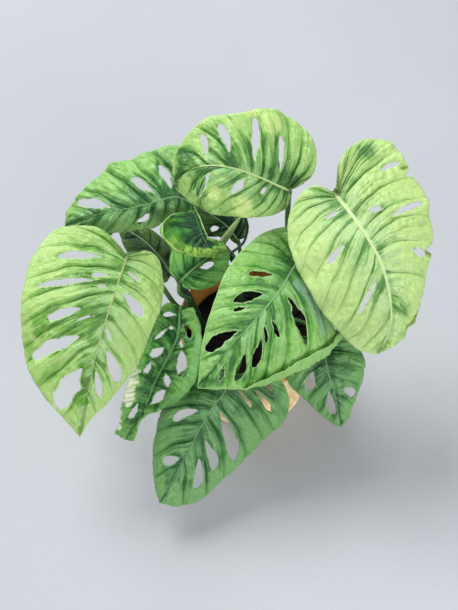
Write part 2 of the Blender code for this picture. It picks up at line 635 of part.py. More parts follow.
def make_leaf(leaf):
    mat = material(leaf.name, leaf.colour, 0.4)
    blade = Blade(leaf)
    small = blade.length < SMALL_LEAF
    verts, heights, depths, faces = blade_sheet(blade, 14 if small else 22, 8)
    bm = bmesh.new()
    points = [bm.verts.new(blade.point(v.x, v.y, h)) for v, h in zip(verts, heights)]
    for face in faces:
        bm.faces.new([points[i] for i in face])
    loose = [v for v in bm.verts if not v.link_faces]
    bmesh.ops.delete(bm, geom=loose, context="VERTS")
    bm.normal_update()
    top = list(bm.faces)
    if sum(face.normal.dot(Vector(leaf.face)) for face in top) < 0:
        bmesh.ops.reverse_faces(bm, faces=top)
        bm.normal_update()
    drop = {}
    for vert, depth in zip(points, depths):
        if vert.is_valid:
            drop[vert] = vert.co - vert.normal * depth
    copy = bmesh.ops.duplicate(bm, geom=top + list({e for f in top for e in f.edges})
                               + list({v for f in top for v in f.verts}))
    twin = {a: copy["vert_map"][a] for a in drop}
    for vert, place in drop.items():
        twin[vert].co = place
    under = [f for f in copy["geom"] if isinstance(f, bmesh.types.BMFace)]
    bmesh.ops.reverse_faces(bm, faces=under)
    for edge in [e for e in bm.edges if len(e.link_faces) == 1 and e.verts[0] in twin]:
        a, b = edge.verts
        wall = bm.faces.new((a, b, twin[b], twin[a]))
        if edge.link_loops[0].vert == a:
            wall.normal_flip()
        bmesh.ops.triangulate(bm, faces=[wall])
    bmesh.ops.recalc_face_normals(bm, faces=bm.faces)
    solid = object_from(leaf.name, bm, mat)
    combine(solid, [make_petiole(leaf, blade, mat)], "UNION")
    weld(solid, 0.03)


def make_petiole(leaf, blade, mat):
    """The leaf's stalk, from just off its stem to a knee inside the foot of the blade."""
    places, _ = spline(STEMS[leaf.stem], 41)
    k = round(leaf.foot * 40)
    stem_at = places[k]
    stem_run = (places[min(k + 1, 40)] - places[max(k - 1, 0)]).normalized()
    toward = Vector(leaf.petiole[0]) - stem_at
    toward = (toward - toward.dot(stem_run) * stem_run).normalized()
    start = stem_at + toward * (stem_radius(leaf.foot) + GAP)
    foot = blade.path[0]
    run = blade.along[0]
    up = blade.up[0]
    under_rib = BLADE_THICKNESS
    line, _ = spline([start + toward * PETIOLE_FOOT_RADIUS] + leaf.petiole
                     + [foot - up * KNEE_DROP - run * 1.5, foot + run * 2.5 - up * under_rib], 9)
    line = [start] + line + [foot + run * 8 - up * under_rib]
    radii = [PETIOLE_FOOT_RADIUS, PETIOLE_FOOT_RADIUS - 0.2] + [PETIOLE_RADIUS] * 6
    radii += [KNEE_RADIUS, KNEE_RADIUS - 0.3, 1.5]
    slim = 0.8 if blade.length < SMALL_LEAF else 1.0
    return tube("petiole", line, [r * slim for r in radii], mat)


def main():
    clear_scene()
    make_pot()
    make_cover()
    make_soil()
    make_stems()
    for leaf in LEAVES:
        make_leaf(leaf)


main()
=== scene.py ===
"""Looks of a potted swiss cheese vine: quilted leaves, stems, pot, paper cover, soil and stage.

Tables are in millimetres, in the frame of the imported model, and each mesh is scaled to metres last.
"""
import bisect
import math
import random
from dataclasses import dataclass

import bmesh
import bpy
from mathutils import Matrix, Vector, kdtree, noise


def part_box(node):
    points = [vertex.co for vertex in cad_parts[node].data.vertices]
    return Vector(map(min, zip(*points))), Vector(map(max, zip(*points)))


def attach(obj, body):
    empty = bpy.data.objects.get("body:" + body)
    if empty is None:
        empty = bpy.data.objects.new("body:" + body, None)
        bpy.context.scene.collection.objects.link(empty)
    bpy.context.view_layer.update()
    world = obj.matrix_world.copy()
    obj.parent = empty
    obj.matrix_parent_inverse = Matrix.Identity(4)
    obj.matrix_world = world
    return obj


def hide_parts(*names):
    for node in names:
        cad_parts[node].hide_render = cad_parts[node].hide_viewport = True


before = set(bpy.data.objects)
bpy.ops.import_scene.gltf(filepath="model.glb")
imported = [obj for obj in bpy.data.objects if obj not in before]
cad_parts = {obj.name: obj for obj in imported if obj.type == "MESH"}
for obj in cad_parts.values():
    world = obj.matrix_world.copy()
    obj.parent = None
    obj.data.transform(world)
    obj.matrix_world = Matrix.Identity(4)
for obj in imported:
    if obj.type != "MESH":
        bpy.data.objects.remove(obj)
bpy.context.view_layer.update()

bl_info = {
    "name": "Potted swiss cheese vine",
    "version": (1, 0, 0),
    "blender": (4, 5, 0),
    "location": "View3D > Sidebar > Vine",
    "description": "Builds a potted swiss cheese vine, piece by piece, around its packed model",
    "category": "Object",
}

MM = 0.001
SEED = 11


def millimetres(node, corner, axis):
    """One side of a node's box, in mm."""
    return round(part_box(node)[corner][axis] / MM, 3)


# Sizes read from the frame
RIM_RADIUS = millimetres("pot", 1, 0)
POT_TOP = millimetres("pot", 1, 2)
POT_FLOOR = millimetres("pot", 0, 2)
COVER_TOP = millimetres("paper_cover", 1, 2)

# Pot, cover and soil sizes that the boxes don't give
POT_FOOT_RADIUS = 46.0
POT_SHOULDER_RADIUS = 57.4
POT_WALL = 1.3
LIP_HEIGHT = 9.5
COVER_FOOT_RADIUS = 53.0
COVER_TOP_RADIUS = 59.6
COVER_WALL = 0.9
COVER_HEM = 2.0        # how far the paper is drawn in along its foot
COVER_DENT = 2.4       # its deepest dents, which are near its foot
COVER_TOP_DENT = 0.25  # and at its top
COVER_BULGE = 0.5      # how far it stands out between them
SOIL_TOP = 80.0
SOIL_SWELL = 2.2       # height of its broad swells
SOIL_FLOOR_GAP = 0.35  # room between the mix and the pot's floor
SOIL_SIDE_GAP = 0.75   # and between the mix and the pot's wall
CHIP_SIZES = (0.8, 2.6)

# Blade sizes
CELL = 1.05            # size of a blade's mesh cells
SMALL_CELL = 0.8       # and of a slim blade's
SLIM_LEAF = 60.0       # a blade narrower than this has small cells
FAR = 50.0             # further than a hole changes anything
VEIN_FAN = 0.10        # part of the midrib that the veins of the basal lobes leave from
VEIN_BOW = 0.22        # how far the side veins curve towards the tip
VEIN_WANDER = 0.13     # how far they stray from an even curve, in parts of their spacing
CURL_RADIUS = 1.6      # bend of a curled margin
RIB_TAPER = 0.7        # part of its width that the midrib loses on its way to the tip
RIB_UNDER = 1.2        # how far the midrib stands out under the blade
VEIN_UNDER = 0.4       # and the side veins
QUILT_SPACING = 14.0   # spacing of the side veins at which the quilting has its stated height
FOLD_HEIGHT = 1.5      # height of the creases beside the midrib
FINE_HEIGHT = 0.25     # and of the finest unevenness
GROOVE_WIDTH = 0.8     # half the width of the groove along a side vein
HOLE_DROP = 1.1        # how far the blade turns down at the edge of a hole
HOLE_REACH = 2.4       # and over what distance
EDGE_DROP = 0.5        # the same along the margin
EDGE_REACH = 1.4

# Stalk and stem sizes
PETIOLE_FOOT_RADIUS = 2.9
PETIOLE_RADIUS = 2.1
KNEE_RADIUS = 2.5
KNEE_DROP = 3.5        # how far a stalk passes under its blade before it turns up into it
SMALL_LEAF = 90.0      # a leaf shorter than this has a slimmer stalk
SLIM_STALK = 0.8       # and this part of the usual radius
STEM_FOOT_RADIUS = 4.0
STEM_TIP_RADIUS = 3.1
STEM_GAP = 0.35        # room between a stalk's foot and its stem
STEM_JOINTS = 17.0     # spacing of the joints along a stem

# Stage, in metres
CAMERA_PLACE = (0.0, -0.365, 0.675)
CAMERA_TURN = (33.5, 0.0, 2.9)                      # in degrees
SENSOR_WIDTH = 36.0                                 # in mm
KEY_LIGHT = ((-1.2, 1.2, 2.5), (0, 0, 0.15), 1.7)   # its place, what it points at and its width
FILL_LIGHT = ((0.8, -1.2, 0.7), (0, 0, 0.10), 0.9)
SKY_COLOUR = (0.93, 0.97, 1.0, 1.0)
FLOOR_REACH = 4.0                                   # half the floor's width

TOWARDS_LIGHT = (0.03, -0.55, 0.83)


@dataclass
class Leaf:
    """A leaf: midrib and stalk points in mm, outlines and holes in parts of the midrib's length.

    foot is the part of the stem's length where the stalk leaves it. right and left run from the
    sinus round the lobe to the tip, as (along, out). A hole runs from its inner end to its outer
    one: (along, out, along, out, width), out < 0 on the left. Pairs give the right half first.
    """
    name: str
    slot: str
    palette: str
    stem: str
    foot: float
    petiole: list
    midrib: list
    right: list
    left: list
    holes: list
    lift: tuple = (0.0, 0.0)       # how far each half rises from the midrib, in degrees
    curl: tuple = ((-20.0, -20.0), (-20.0, -20.0))  # how far it bends up further out, base and tip
    face: tuple = TOWARDS_LIGHT    # the way the blade faces
    veins: int = 9                 # side veins in a half without holes
    wave: tuple = (2.0, 3.0, 0.0)  # waves of the margin: height in mm, number and phase
    quilt: tuple = (1.6, 1.6)      # height of the bulges between the side veins, in mm
    lean: tuple = (0.22, 0.22)     # how far the side veins run forward at the base
    rib: float = 1.15              # half the midrib's width at its foot, in mm
    folds: tuple = (1.0, 1.0)      # how strongly the blade is creased beside the midrib
    shades: tuple = (0.0, 0.0)     # how much paler than its palette each half is
    ridge: float = 0.0             # how far its spots stand up, in mm
    rolls: tuple = ()     # curled margins: (half, first part, last part, width in mm, degrees)
    nicks: tuple = ()     # notches: (half, part of the margin, depth, width), in parts
    spots: tuple = ()     # spots of another colour: (along, out, radius), in parts of the midrib
    patches: tuple = ()   # paler places: (along, out, radius, how much), in parts; < 0 is darker


LEAVES = [
    Leaf("leaf_left_large", "leaf_bright", "bright", "stem_left", 0.36,
         [(-64, 2, 118), (-76, 7, 142), (-91, 11, 169)],
         [(-97, 1, 183), (-104, -37, 178), (-114, -68, 157), (-123, -94, 124), (-130, -112, 96)],
         [(-.02, .03), (-.07, .10), (-.10, .20), (-.04, .38), (.10, .44), (.24, .45), (.56, .37),
          (.75, .27), (.89, .12), (.96, .035), (1, 0)],
         [(-.02, .03), (-.06, .09), (-.04, .17), (.08, .24), (.22, .265), (.34, .255), (.55, .23),
          (.76, .125), (.89, .04), (.96, .015), (1, 0)],
         [(.04, .12, .10, .32, .045), (.13, .06, .16, .13, .022), (.19, .05, .20, .09, .018),
          (.18, .12, .29, .37, .030), (.33, .13, .42, .27, .042), (.345, .06, .39, .13, .016),
          (.46, .10, .63, .30, .065), (.61, .05, .86, .13, .095), (.08, -.03, .11, -.10, .022),
          (.20, -.04, .29, -.18, .048), (.39, -.015, .44, -.05, .016), (.50, -.05, .66, -.15, .062),
          (.62, -.02, .75, -.06, .030)],
         lift=(8, -25), curl=((-25, -25), (-15, -15)), wave=(2.5, 3, 0.5), quilt=(1.8, 1.1),
         lean=(0.20, 0.25), rib=0.8, folds=(1.6, 0.8), shades=(-.12, .22),
         # Spots: painted shade along the rims and inner ends of the holes, where the blade turns down
         spots=((.34, .11, .06), (.38, .10, .05), (.46, .03, .035), (.44, .30, .055), (.385, .25, .035),
                (.50, .29, .035), (.60, .04, .04), (.78, .02, .045)),
         patches=((.01, .34, .12, .12), (.77, .18, .10, .15), (.93, .03, .08, .2), (.55, .18, .06, -.2),
                  (.51, .37, .06, .25), (.38, .41, .07, .2), (.45, -.05, .05, -.15),
                  (.57, -.05, .05, -.25), (.37, -.13, .08, .15), (.65, -.12, .08, .2),
                  (.27, .34, .08, -.15), (.38, .27, .08, -.15), (.20, -.16, .12, .12),
                  (.03, .07, .09, .4), (.14, .07, .09, .4), (.24, .18, .08, .25),
                  (.12, .24, .08, .2))),
    Leaf("leaf_right_large", "leaf_bright", "lime", "stem_right", 0.80,
         [(34, 38, 158), (42, 47, 186), (52, 51, 205)],
         [(61, 43, 215), (78, 12, 216), (93, -11, 205), (102, -31, 186), (104, -44, 165),
          (97, -56, 148)],
         [(-.03, .03), (-.09, .07), (-.10, .14), (-.05, .23), (.06, .32), (.20, .38), (.38, .41),
          (.62, .38), (.86, .25), (.97, .12), (1, 0)],
         [(-.03, .03), (-.10, .05), (-.18, .09), (-.24, .18), (-.25, .30), (-.18, .41), (-.02, .44),
          (.17, .44), (.32, .39), (.45, .33), (.60, .23), (.78, .15), (.92, .08), (1, 0)],
         [(.10, .04, .12, .12, .024), (.31, .13, .38, .25, .032), (.55, .05, .72, .17, .024),
          (-.05, -.28, -.07, -.40, .036), (.18, -.07, .18, -.17, .024), (.25, -.18, .22, -.39, .034),
          (.45, -.18, .50, -.26, .040)],
         lift=(-5, -5), curl=((-20, -20), (-10, -60)), veins=11, wave=(2.5, 4, 1.0),
         quilt=(1.1, 2.2), lean=(0.25, -0.35), rib=1.7, folds=(0.9, 2.6), shades=(.02, .10),
         rolls=((1, .84, .985, 4.5, 130),),
         spots=((.49, -.28, .03), (-.04, -.41, .03)),
         patches=((-.19, -.26, .10, -.7), (-.20, -.22, .20, -.6), (-.06, .07, .09, -.5),
                  (-.05, .22, .14, -.55), (-.04, -.11, .06, -.3), (.07, .02, .06, -.3),
                  (.51, .0, .08, -.4), (.60, .0, .09, -.4), (.72, -.13, .14, -.32),
                  (.94, .02, .10, -.6), (.87, -.08, .08, -.5), (.39, .30, .12, .2),
                  (.20, .20, .12, .15), (.62, .23, .12, .2), (.91, .13, .07, .2)),
         nicks=((1, .39, .10, .008), (1, .665, .14, .010), (1, .90, .14, .012))),
    Leaf("leaf_top", "leaf_fresh", "fresh", "stem_right", 0.98,
         [(27, 42, 163), (26, 51, 178), (26, 58, 195)],
         [(25, 55, 205), (0, 53, 222), (-20, 55, 228), (-38, 58, 226), (-52, 60, 218),
          (-65, 58, 204)],
         [(-.03, .03), (-.10, .07), (-.16, .15), (-.17, .25), (-.15, .34), (-.07, .44), (.04, .50),
          (.21, .51), (.35, .47), (.46, .40), (.56, .37), (.66, .35), (.80, .26), (.95, .15), (1, 0)],
         [(-.03, .04), (-.03, .09), (.01, .16), (.13, .25), (.32, .33), (.50, .37), (.67, .36),
          (.86, .24), (.95, .11), (1, 0)],
         [(.67, .07, .71, .23, .045), (.51, .11, .59, .30, .058), (.33, .11, .37, .40, .066),
          (.10, .10, .14, .35, .044), (.64, -.05, .79, -.21, .072), (.37, -.05, .46, -.18, .056),
          (.19, -.05, .22, -.11, .024)],
         lift=(5, -10), curl=((-10, -10), (-30, -30)), wave=(2.5, 4, 2.0), quilt=(2.0, 1.7),
         lean=(-0.05, 0.35), rib=1.0, folds=(1.6, 1.2), shades=(-.04, .04),
         spots=((.24, .40, .09), (.40, .44, .07), (.34, -.26, .10), (.60, -.20, .07)),
         patches=((.72, -.03, .08, -.4), (.86, .10, .16, -.85), (.97, .0, .13, -.8),
                  (.78, -.10, .08, -.3), (.50, .06, .06, -.4), (.35, .06, .05, -.4),
                  (.60, -.18, .05, -.2), (.0, .08, .10, -.5), (.18, .06, .06, -.4),
                  (.69, -.21, .06, -.25), (.33, -.08, .09, .25),
                  (.22, .03, .07, .2), (.15, -.09, .08, .2), (.52, .26, .08, .15),
                  (.29, .37, .08, .15), (.76, .16, .07, .2))),
    Leaf("leaf_upper_left", "leaf_fresh", "middle", "stem_left", 0.97,
         [(-58, 52, 160), (-52, 64, 172)],
         [(-51, 59, 180), (-63, 57, 190), (-76, 50, 193), (-91, 46, 190), (-125, 46, 178),
          (-156, 47, 160)],
         [(-.03, .05), (-.08, .12), (-.08, .25), (.0, .35), (.11, .38), (.29, .36), (.55, .34),
          (.69, .27), (.85, .18), (.97, .10), (1, 0)],
         [(-.03, .05), (-.05, .11), (.03, .18), (.25, .24), (.5, .24), (.7, .21), (.88, .13), (1, 0)],
         [(.29, .06, .43, .20, .055), (.17, .06, .21, .24, .060), (.61, .03, .88, .13, .068),
          (.35, -.07, .46, -.14, .050)],
         lift=(5, -40), curl=((-20, -20), (-60, -60)), face=(0, -.4, .9), wave=(2.5, 4, 0.0),
         quilt=(2.2, 2.2), rib=0.8, folds=(2.0, 2.0), rolls=((1, .20, .95, 5, 130),),
         shades=(-.08, -.06),
         patches=((.45, .20, .09, -.2), (.31, .09, .09, -.3), (.20, .03, .09, -.25),
                  (.69, .06, .09, -.2), (.52, .32, .08, -.15), (.20, -.12, .13, .5),
                  (.36, -.13, .12, .45), (.55, -.12, .10, .35), (.10, -.06, .08, .3))),
    Leaf("leaf_centre", "leaf_fresh", "centre", "stem_right", 0.55,
         [(31, 14, 120), (37, 18, 142), (38, 22, 158)],
         [(35, 15, 167), (19, -20, 171), (4, -41, 168), (-17, -59, 150), (-39, -79, 124)],
         [(-.04, .04), (-.11, .09), (-.13, .16), (-.02, .25), (.17, .30), (.36, .30), (.53, .24),
          (.71, .16), (.86, .08), (1, 0)],
         [(-.03, .05), (-.08, .14), (-.08, .26), (.0, .40), (.14, .49), (.29, .48), (.42, .45),
          (.59, .38), (.78, .27), (.90, .14), (1, 0)],
         [(.20, .08, .30, .19, .046), (.34, .06, .48, .155, .052), (.46, .08, .52, .12, .022),
          (.59, .03, .79, .09, .068), (.25, -.06, .38, -.33, .068), (.42, -.07, .47, -.17, .022),
          (.47, -.055, .54, -.14, .022), (.54, -.10, .70, -.18, .042), (.66, -.09, .83, -.15, .050),
          (.79, -.035, .88, -.075, .026), (.12, -.29, .16, -.44, .044)],
         lift=(5, -10), curl=((-15, -15), (-20, -20)), veins=11, wave=(1.5, 3, 1.5),
         quilt=(1.9, 1.9), lean=(0.35, 0.30), rib=0.85, folds=(2.2, 2.1),
         rolls=((1, .26, .82, 16, 162),),
         # Spots: painted sheen on a satin strip beside the long slit
         spots=((.135, -.07, .035), (.145, -.12, .045), (.16, -.18, .052), (.185, -.24, .056),
                (.215, -.30, .06), (.24, -.35, .055)),
         patches=((.05, .06, .10, -.2), (.24, .04, .05, -.15), (.30, -.10, .05, -.2),
                  (.07, -.20, .05, -.25), (.95, .0, .08, -.7), (.88, -.07, .09, -.8),
                  (.80, -.16, .09, -.75), (.71, -.24, .08, -.65), (.45, -.40, .07, -.4),
                  (.10, .20, .12, .15), (.55, -.30, .09, -.12), (.40, .21, .07, .15),
                  (.24, .25, .07, .1), (.67, .12, .07, .1), (.47, -.20, .06, .15),
                  (.46, -.34, .07, .15))),
    Leaf("leaf_front_low", "leaf_deep", "deep", "stem_front", 0.92,
         [(-6, -42, 118), (-9, -57, 119)],
         [(-11, -64, 120), (-19, -80, 118), (-31, -93, 105), (-49, -117, 72), (-68, -143, 43)],
         [(-.03, .05), (-.06, .12), (.0, .21), (.12, .285), (.27, .33), (.41, .325), (.71, .235),
          (.91, .10), (1, 0)],
         [(-.03, .06), (-.10, .14), (-.13, .28), (-.05, .44), (.07, .51), (.31, .47), (.54, .40),
          (.71, .32), (.89, .25), (.98, .12), (1, 0)],
         [(.32, .07, .48, .19, .050), (.67, .03, .76, .11, .056), (.25, -.06, .56, -.33, .078),
          (.48, -.07, .66, -.23, .054), (.62, -.09, .82, -.18, .068), (.06, -.06, .13, -.21, .034),
          (.01, -.17, .09, -.36, .042), (-.05, -.22, -.04, -.29, .024)],
         lift=(-18, -20), wave=(1.5, 3, 0.0), quilt=(1.6, 1.5), rib=0.85, folds=(2.0, 1.7),
         shades=(-.06, -.06),
         patches=((.26, -.02, .06, -.15), (.20, -.13, .08, -.12), (-.02, -.33, .09, -.3),
                  (.11, .0, .07, -.2), (.53, .24, .06, .12), (.82, -.03, .09, .12),
                  (.22, -.27, .07, .12), (.57, -.30, .07, .1))),
    Leaf("leaf_right_low", "leaf_deep", "deep", "stem_right", 0.20,
         [(34, 0, 104), (46, -13, 119), (56, -26, 125)],
         [(60, -33, 120), (63, -52, 113), (70, -62, 96), (79, -77, 62)],
         [(-.03, .05), (-.12, .15), (-.10, .33), (.08, .43), (.28, .42), (.50, .33), (.75, .20),
          (.92, .09), (1, 0)],
         [(-.03, .05), (-.10, .12), (-.08, .24), (.12, .38), (.30, .40), (.50, .32), (.70, .20),
          (.9, .10), (1, 0)],
         [(.25, .14, .43, .24, .095), (.51, .05, .82, .05, .085), (.50, -.10, .64, -.20, .090)],
         veins=7, wave=(1.5, 3, 0.0), rib=0.8, folds=(1.6, 1.6), shades=(-.10, -.10),
         patches=((.15, .01, .11, -.25), (.05, -.12, .12, -.3), (.31, -.17, .06, -.2),
                  (.88, .0, .10, .12))),
    Leaf("leaf_left_curled", "leaf_deep", "curled", "stem_left", 0.26,
         [(-52, 0, 112), (-57, -4, 122)],
         [(-58, -13, 130), (-58, -34, 127), (-65, -51, 119), (-74, -62, 104), (-84, -79, 83),
          (-102, -91, 47)],
         [(-.03, .04), (-.03, .09), (.04, .14), (.14, .18), (.30, .18), (.42, .155), (.50, .17),
          (.58, .17), (.69, .15), (.80, .11), (.90, .09), (.96, .085), (1, 0)],
         [(-.03, .04), (-.04, .09), (.03, .15), (.14, .20), (.27, .265), (.37, .27), (.48, .23),
          (.60, .13), (.69, .05), (.77, .025), (.86, .035), (.95, .055), (1, 0)],
         [(.03, .02, .05, .10, .026), (.12, .03, .13, .06, .020), (.14, .07, .23, .125, .022),
          (.26, .045, .34, .10, .052), (.37, .08, .46, .08, .040), (.08, -.03, .15, -.095, .040),
          (.17, -.03, .21, -.055, .030), (.23, -.06, .36, -.13, .075), (.40, -.035, .46, -.10, .055),
          (.63, -.025, .50, -.10, .056), (.67, .045, .80, .045, .036)],
         lift=(12, 22), curl=((30, 40), (30, 40)), veins=8, wave=(1.5, 4, 1.0), quilt=(1.4, 1.4),
         lean=(-0.6, -0.6), rib=1.0, folds=(1.4, 1.4),
         rolls=((0, .06, .44, 6, 150), (1, .04, .70, 11, 158)), shades=(-.10, 0.0), ridge=0.8,
         spots=((.47, .15, .045), (.52, .15, .06), (.58, .15, .06), (.63, .13, .05), (.67, .11, .035),
                (.76, .14, .03), (.83, .11, .028), (.89, .09, .025)),
         patches=((.41, -.03, .05, .3), (.52, -.03, .05, .3), (.61, -.03, .05, .25),
                  (.69, -.05, .05, .2), (.34, .02, .05, .2), (.60, .04, .04, -.2),
                  (.04, -.08, .06, .25), (.10, -.12, .06, .3), (.20, -.13, .06, .3),
                  (.36, -.05, .04, .3), (.24, .03, .04, .3), (.47, -.17, .06, .25),
                  (.17, .15, .04, .2), (.96, .0, .12, .9), (.86, -.01, .06, .6),
                  (.16, .10, .04, -.2), (.53, .05, .07, -.3), (.58, .0, .05, -.2),
                  (.74, .10, .05, .2), (.96, .08, .03, -.5))),
    Leaf("leaf_small_cupped", "leaf_deep", "dark", "stem_left", 0.72,
         [(-58, 40, 172), (-53, 46, 183)],
         [(-48, 42, 188), (-43, 30, 186), (-37, 20, 178), (-29, 13, 165)],
         [(-.05, .08), (-.10, .30), (-.05, .50), (.05, .69), (.18, .85), (.32, .94), (.45, .85),
          (.57, .60), (.70, .36), (.80, .18), (.88, .06), (.94, .025), (1, 0)],
         [(-.03, .05), (.10, .07), (.5, .07), (.60, .10), (.68, .23), (.76, .37), (.84, .42),
          (.89, .28), (.91, .10), (.95, .03), (1, 0)],
         [],
         lift=(20, 10), curl=((40, 40), (20, 20)), veins=6, wave=(1.5, 2, 0.0), quilt=(0.7, 0.8),
         lean=(-0.35, 0.0), rib=0.7, rolls=((0, .06, .70, 5, 150),), folds=(0.7, 1.0), ridge=1.6,
         # Spots: painted light on the band along the near margin; the dark palette paints the shade in
         # the cup
         spots=((.28, .90, .07), (.36, .80, .11), (.46, .63, .12), (.56, .46, .12), (.64, .31, .11),
                (.72, .17, .11), (.78, .03, .11), (.80, -.10, .10), (.82, -.22, .10),
                (.84, -.34, .10), (.9, .0, .07)),
         patches=((.30, .25, .14, .25), (.10, .50, .14, -.2), (.16, .15, .10, -.2),
                  (.42, .48, .12, .3))),
    Leaf("leaf_small_round", "leaf_deep", "minty", "stem_left", 0.48,
         [(-53, 3, 126), (-59, 1, 136)],
         [(-58, 7, 145), (-50, 12, 152), (-41, 19, 156), (-31, 26, 158), (-20, 34, 154)],
         [(-.03, .08), (-.02, .14), (.06, .23), (.17, .33), (.30, .40), (.44, .43), (.62, .39),
          (.78, .29), (.91, .15), (1, 0)],
         [(-.03, .08), (-.06, .16), (-.02, .27), (.12, .40), (.25, .46), (.40, .45), (.7, .30),
          (.9, .12), (1, 0)],
         [(.38, .05, .61, .13, .090)],
         lift=(10, 10), curl=((0, 0), (0, 0)), veins=6, wave=(1.0, 2, 0.0), rib=0.8,
         folds=(1.4, 1.4),
         # The darker patches along the middle are painted shade in the hollow of the cup
         patches=((.09, -.28, .12, .25), (.06, -.17, .08, .2), (.23, -.18, .06, .2),
                  (.10, .13, .08, .2), (.33, .28, .09, .2), (.68, .22, .10, .12),
                  (.56, -.05, .14, -.45), (.72, -.01, .12, -.4), (.41, -.27, .10, -.35),
                  (.54, .19, .05, -.2), (.31, .15, .05, -.25), (.37, -.06, .07, -.25))),
    Leaf("leaf_back_left", "leaf_shaded", "shaded", "stem_left", 0.56,
         [(-64, 22, 128)],
         [(-69, 25, 130), (-78, 36, 136), (-94, 51, 140), (-117, 67, 140)],
         [(-.04, .05), (-.03, .10), (.12, .17), (.35, .19), (.65, .17), (.88, .10), (1, 0)],
         [(-.04, .05), (-.05, .13), (.10, .26), (.35, .31), (.65, .26), (.88, .12), (1, 0)],
         [],
         veins=6, wave=(1.0, 2, 0.0), quilt=(0.9, 0.9), shades=(.45, -.05)),
    Leaf("leaf_back", "leaf_shaded", "shaded", "stem_back", 0.52,
         [(-11, 50, 120), (-12, 53, 130)],
         [(-14, 55, 140), (-24, 62, 150), (-40, 69, 158), (-56, 80, 160)],
         [(-.05, .08), (-.05, .20), (.15, .34), (.4, .36), (.7, .25), (.9, .1), (1, 0)],
         [(-.04, .05), (.05, .08), (.17, .10), (.26, .20), (.36, .28), (.48, .34), (.62, .34),
          (.80, .20), (.93, .08), (1, 0)],
         [(.36, -.09, .44, -.20, .095)],
         veins=6, wave=(1.0, 2, 0.0), quilt=(0.9, 0.9), shades=(0.0, .40)),
]

STEMS = {
    "stem_left": [(-38, 2, 70), (-45, 5, 94), (-52, 10, 112), (-59, 16, 128), (-63, 27, 146),
                  (-61, 42, 160)],
    "stem_right": [(16, 4, 70), (20, 8, 98), (24, 16, 124), (28, 26, 152)],
    "stem_front": [(0, -14, 70), (-2, -22, 96), (-4, -31, 112)],
    "stem_back": [(-8, 24, 70), (-11, 34, 100), (-15, 42, 124), (-24, 41, 146)],
}
SPIKE = [(-23, 40, 143), (-26, 42, 151), (-20, 47, 161), (-11, 55, 173)]
AERIAL_ROOT = [(-20, 42, 137), (-9, 50, 143), (-6, 57, 151), (-6, 58, 158), (-9, 61, 166)]


# Settings that the panel shows

def length(name, description, default):
    return bpy.props.FloatProperty(name=name, description=description, default=default, min=0.0,
                                   precision=5, unit="LENGTH")


def colour(name, description, default):
    return bpy.props.FloatVectorProperty(name=name, description=description, default=default,
                                         size=3, min=0.0, max=1.0, subtype="COLOR")


def factor(name, description, default, highest=1.0):
    return bpy.props.FloatProperty(name=name, description=description, default=default, min=0.0,
                                   max=highest, subtype="FACTOR")


def watts(name, description, default):
    return bpy.props.FloatProperty(name=name, description=description, default=default, min=0.0,
                                   unit="POWER")


class LeafSettings(bpy.types.PropertyGroup):
    """Sizes and colours of the leaves."""
    thickness: length("Blade thickness", "Thickness of the leaf tissue", 0.0007)
    quilting: factor("Quilting", "Height of the bulges, as part of each leaf's own", 1.0, 2.0)
    groove: length("Vein groove", "Depth of the groove along each side vein", 0.0006)
    stalk: colour("Stalk", "Leaf stalks", (0.10, 0.26, 0.06))


class StemSettings(bpy.types.PropertyGroup):
    """Colours of the stems."""
    green: colour("Stem", "Older part of the stems", (0.035, 0.12, 0.035))
    young: colour("Spike", "The new leaf still rolled to a spike", (0.50, 0.62, 0.26))


class PotSettings(bpy.types.PropertyGroup):
    """Colours of the nursery pot."""
    amber: colour("Plastic", "Amber-brown plastic", (1.0, 0.50, 0.11))


class CoverSettings(bpy.types.PropertyGroup):
    """Sizes and colours of the paper cover."""
    paper: colour("Paper", "Crests of the paper", (0.98, 0.80, 0.46))
    # The stain colour also paints the shade in the paper's creases
    stain_and_shade: colour("Stain and shade", "Orange-brown mottles", (0.68, 0.40, 0.15))
    crinkle: length("Crinkle", "Height of the fine crinkles", 0.0011)


class SoilSettings(bpy.types.PropertyGroup):
    """Colours and number of the chips in the potting mix."""
    peat: colour("Peat", "Damp peat", (0.006, 0.006, 0.006))
    bark: colour("Bark", "Bark chips", (0.010, 0.011, 0.009))
    chips: bpy.props.IntProperty(name="Chips", description="Number of bark chips on the soil",
                                 default=340, min=0, max=800)


class StageSettings(bpy.types.PropertyGroup):
    """Floor, light and camera."""
    floor: colour("Floor", "Plain pale floor", (0.45, 0.47, 0.50))
    key: watts("Key light", "Power of the large light in watts", 96.0)
    fill: watts("Fill light", "Power of the front light in watts", 15.0)
    sky: factor("Sky", "Strength of the even light from all round", 0.44, 3.0)
    lens: bpy.props.FloatProperty(name="Focal length", description="Camera lens in mm", default=47.2,
                                  min=1.0, unit="CAMERA")


# Small tools

def spline(points, count):
    """A smooth curve through the points, as count places evenly spaced along it, and its length."""
    pts = [Vector(p) for p in points]
    ends = [2 * pts[0] - pts[1]] + pts + [2 * pts[-1] - pts[-2]]
    fine = []
    steps = 16
    for a, b, c, d in zip(ends, ends[1:], ends[2:], ends[3:]):
        for k in range(steps):
            t = k / steps
            fine.append(0.5 * (2 * b + (c - a) * t + (2 * a - 5 * b + 4 * c - d) * t ** 2
                               + (3 * b - a - 3 * c + d) * t ** 3))
    fine.append(pts[-1])
    run = [0.0]
    for a, b in zip(fine, fine[1:]):
        run.append(run[-1] + (b - a).length)
    places = []
    i = 0
    for k in range(count):
        want = run[-1] * k / (count - 1)
        while i < len(fine) - 2 and run[i + 1] < want:
            i += 1
        places.append(fine[i].lerp(fine[i + 1], (want - run[i]) / (run[i + 1] - run[i])))
    return places, run[-1]


def clamped(value):
    """The value, or 0 or 1 where it lies beyond them."""
    return min(max(value, 0.0), 1.0)


def ease(value, low, high):
    """0 below low, 1 above high, and smooth between."""
    t = clamped((value - low) / (high - low))
    return t * t * (3 - 2 * t)


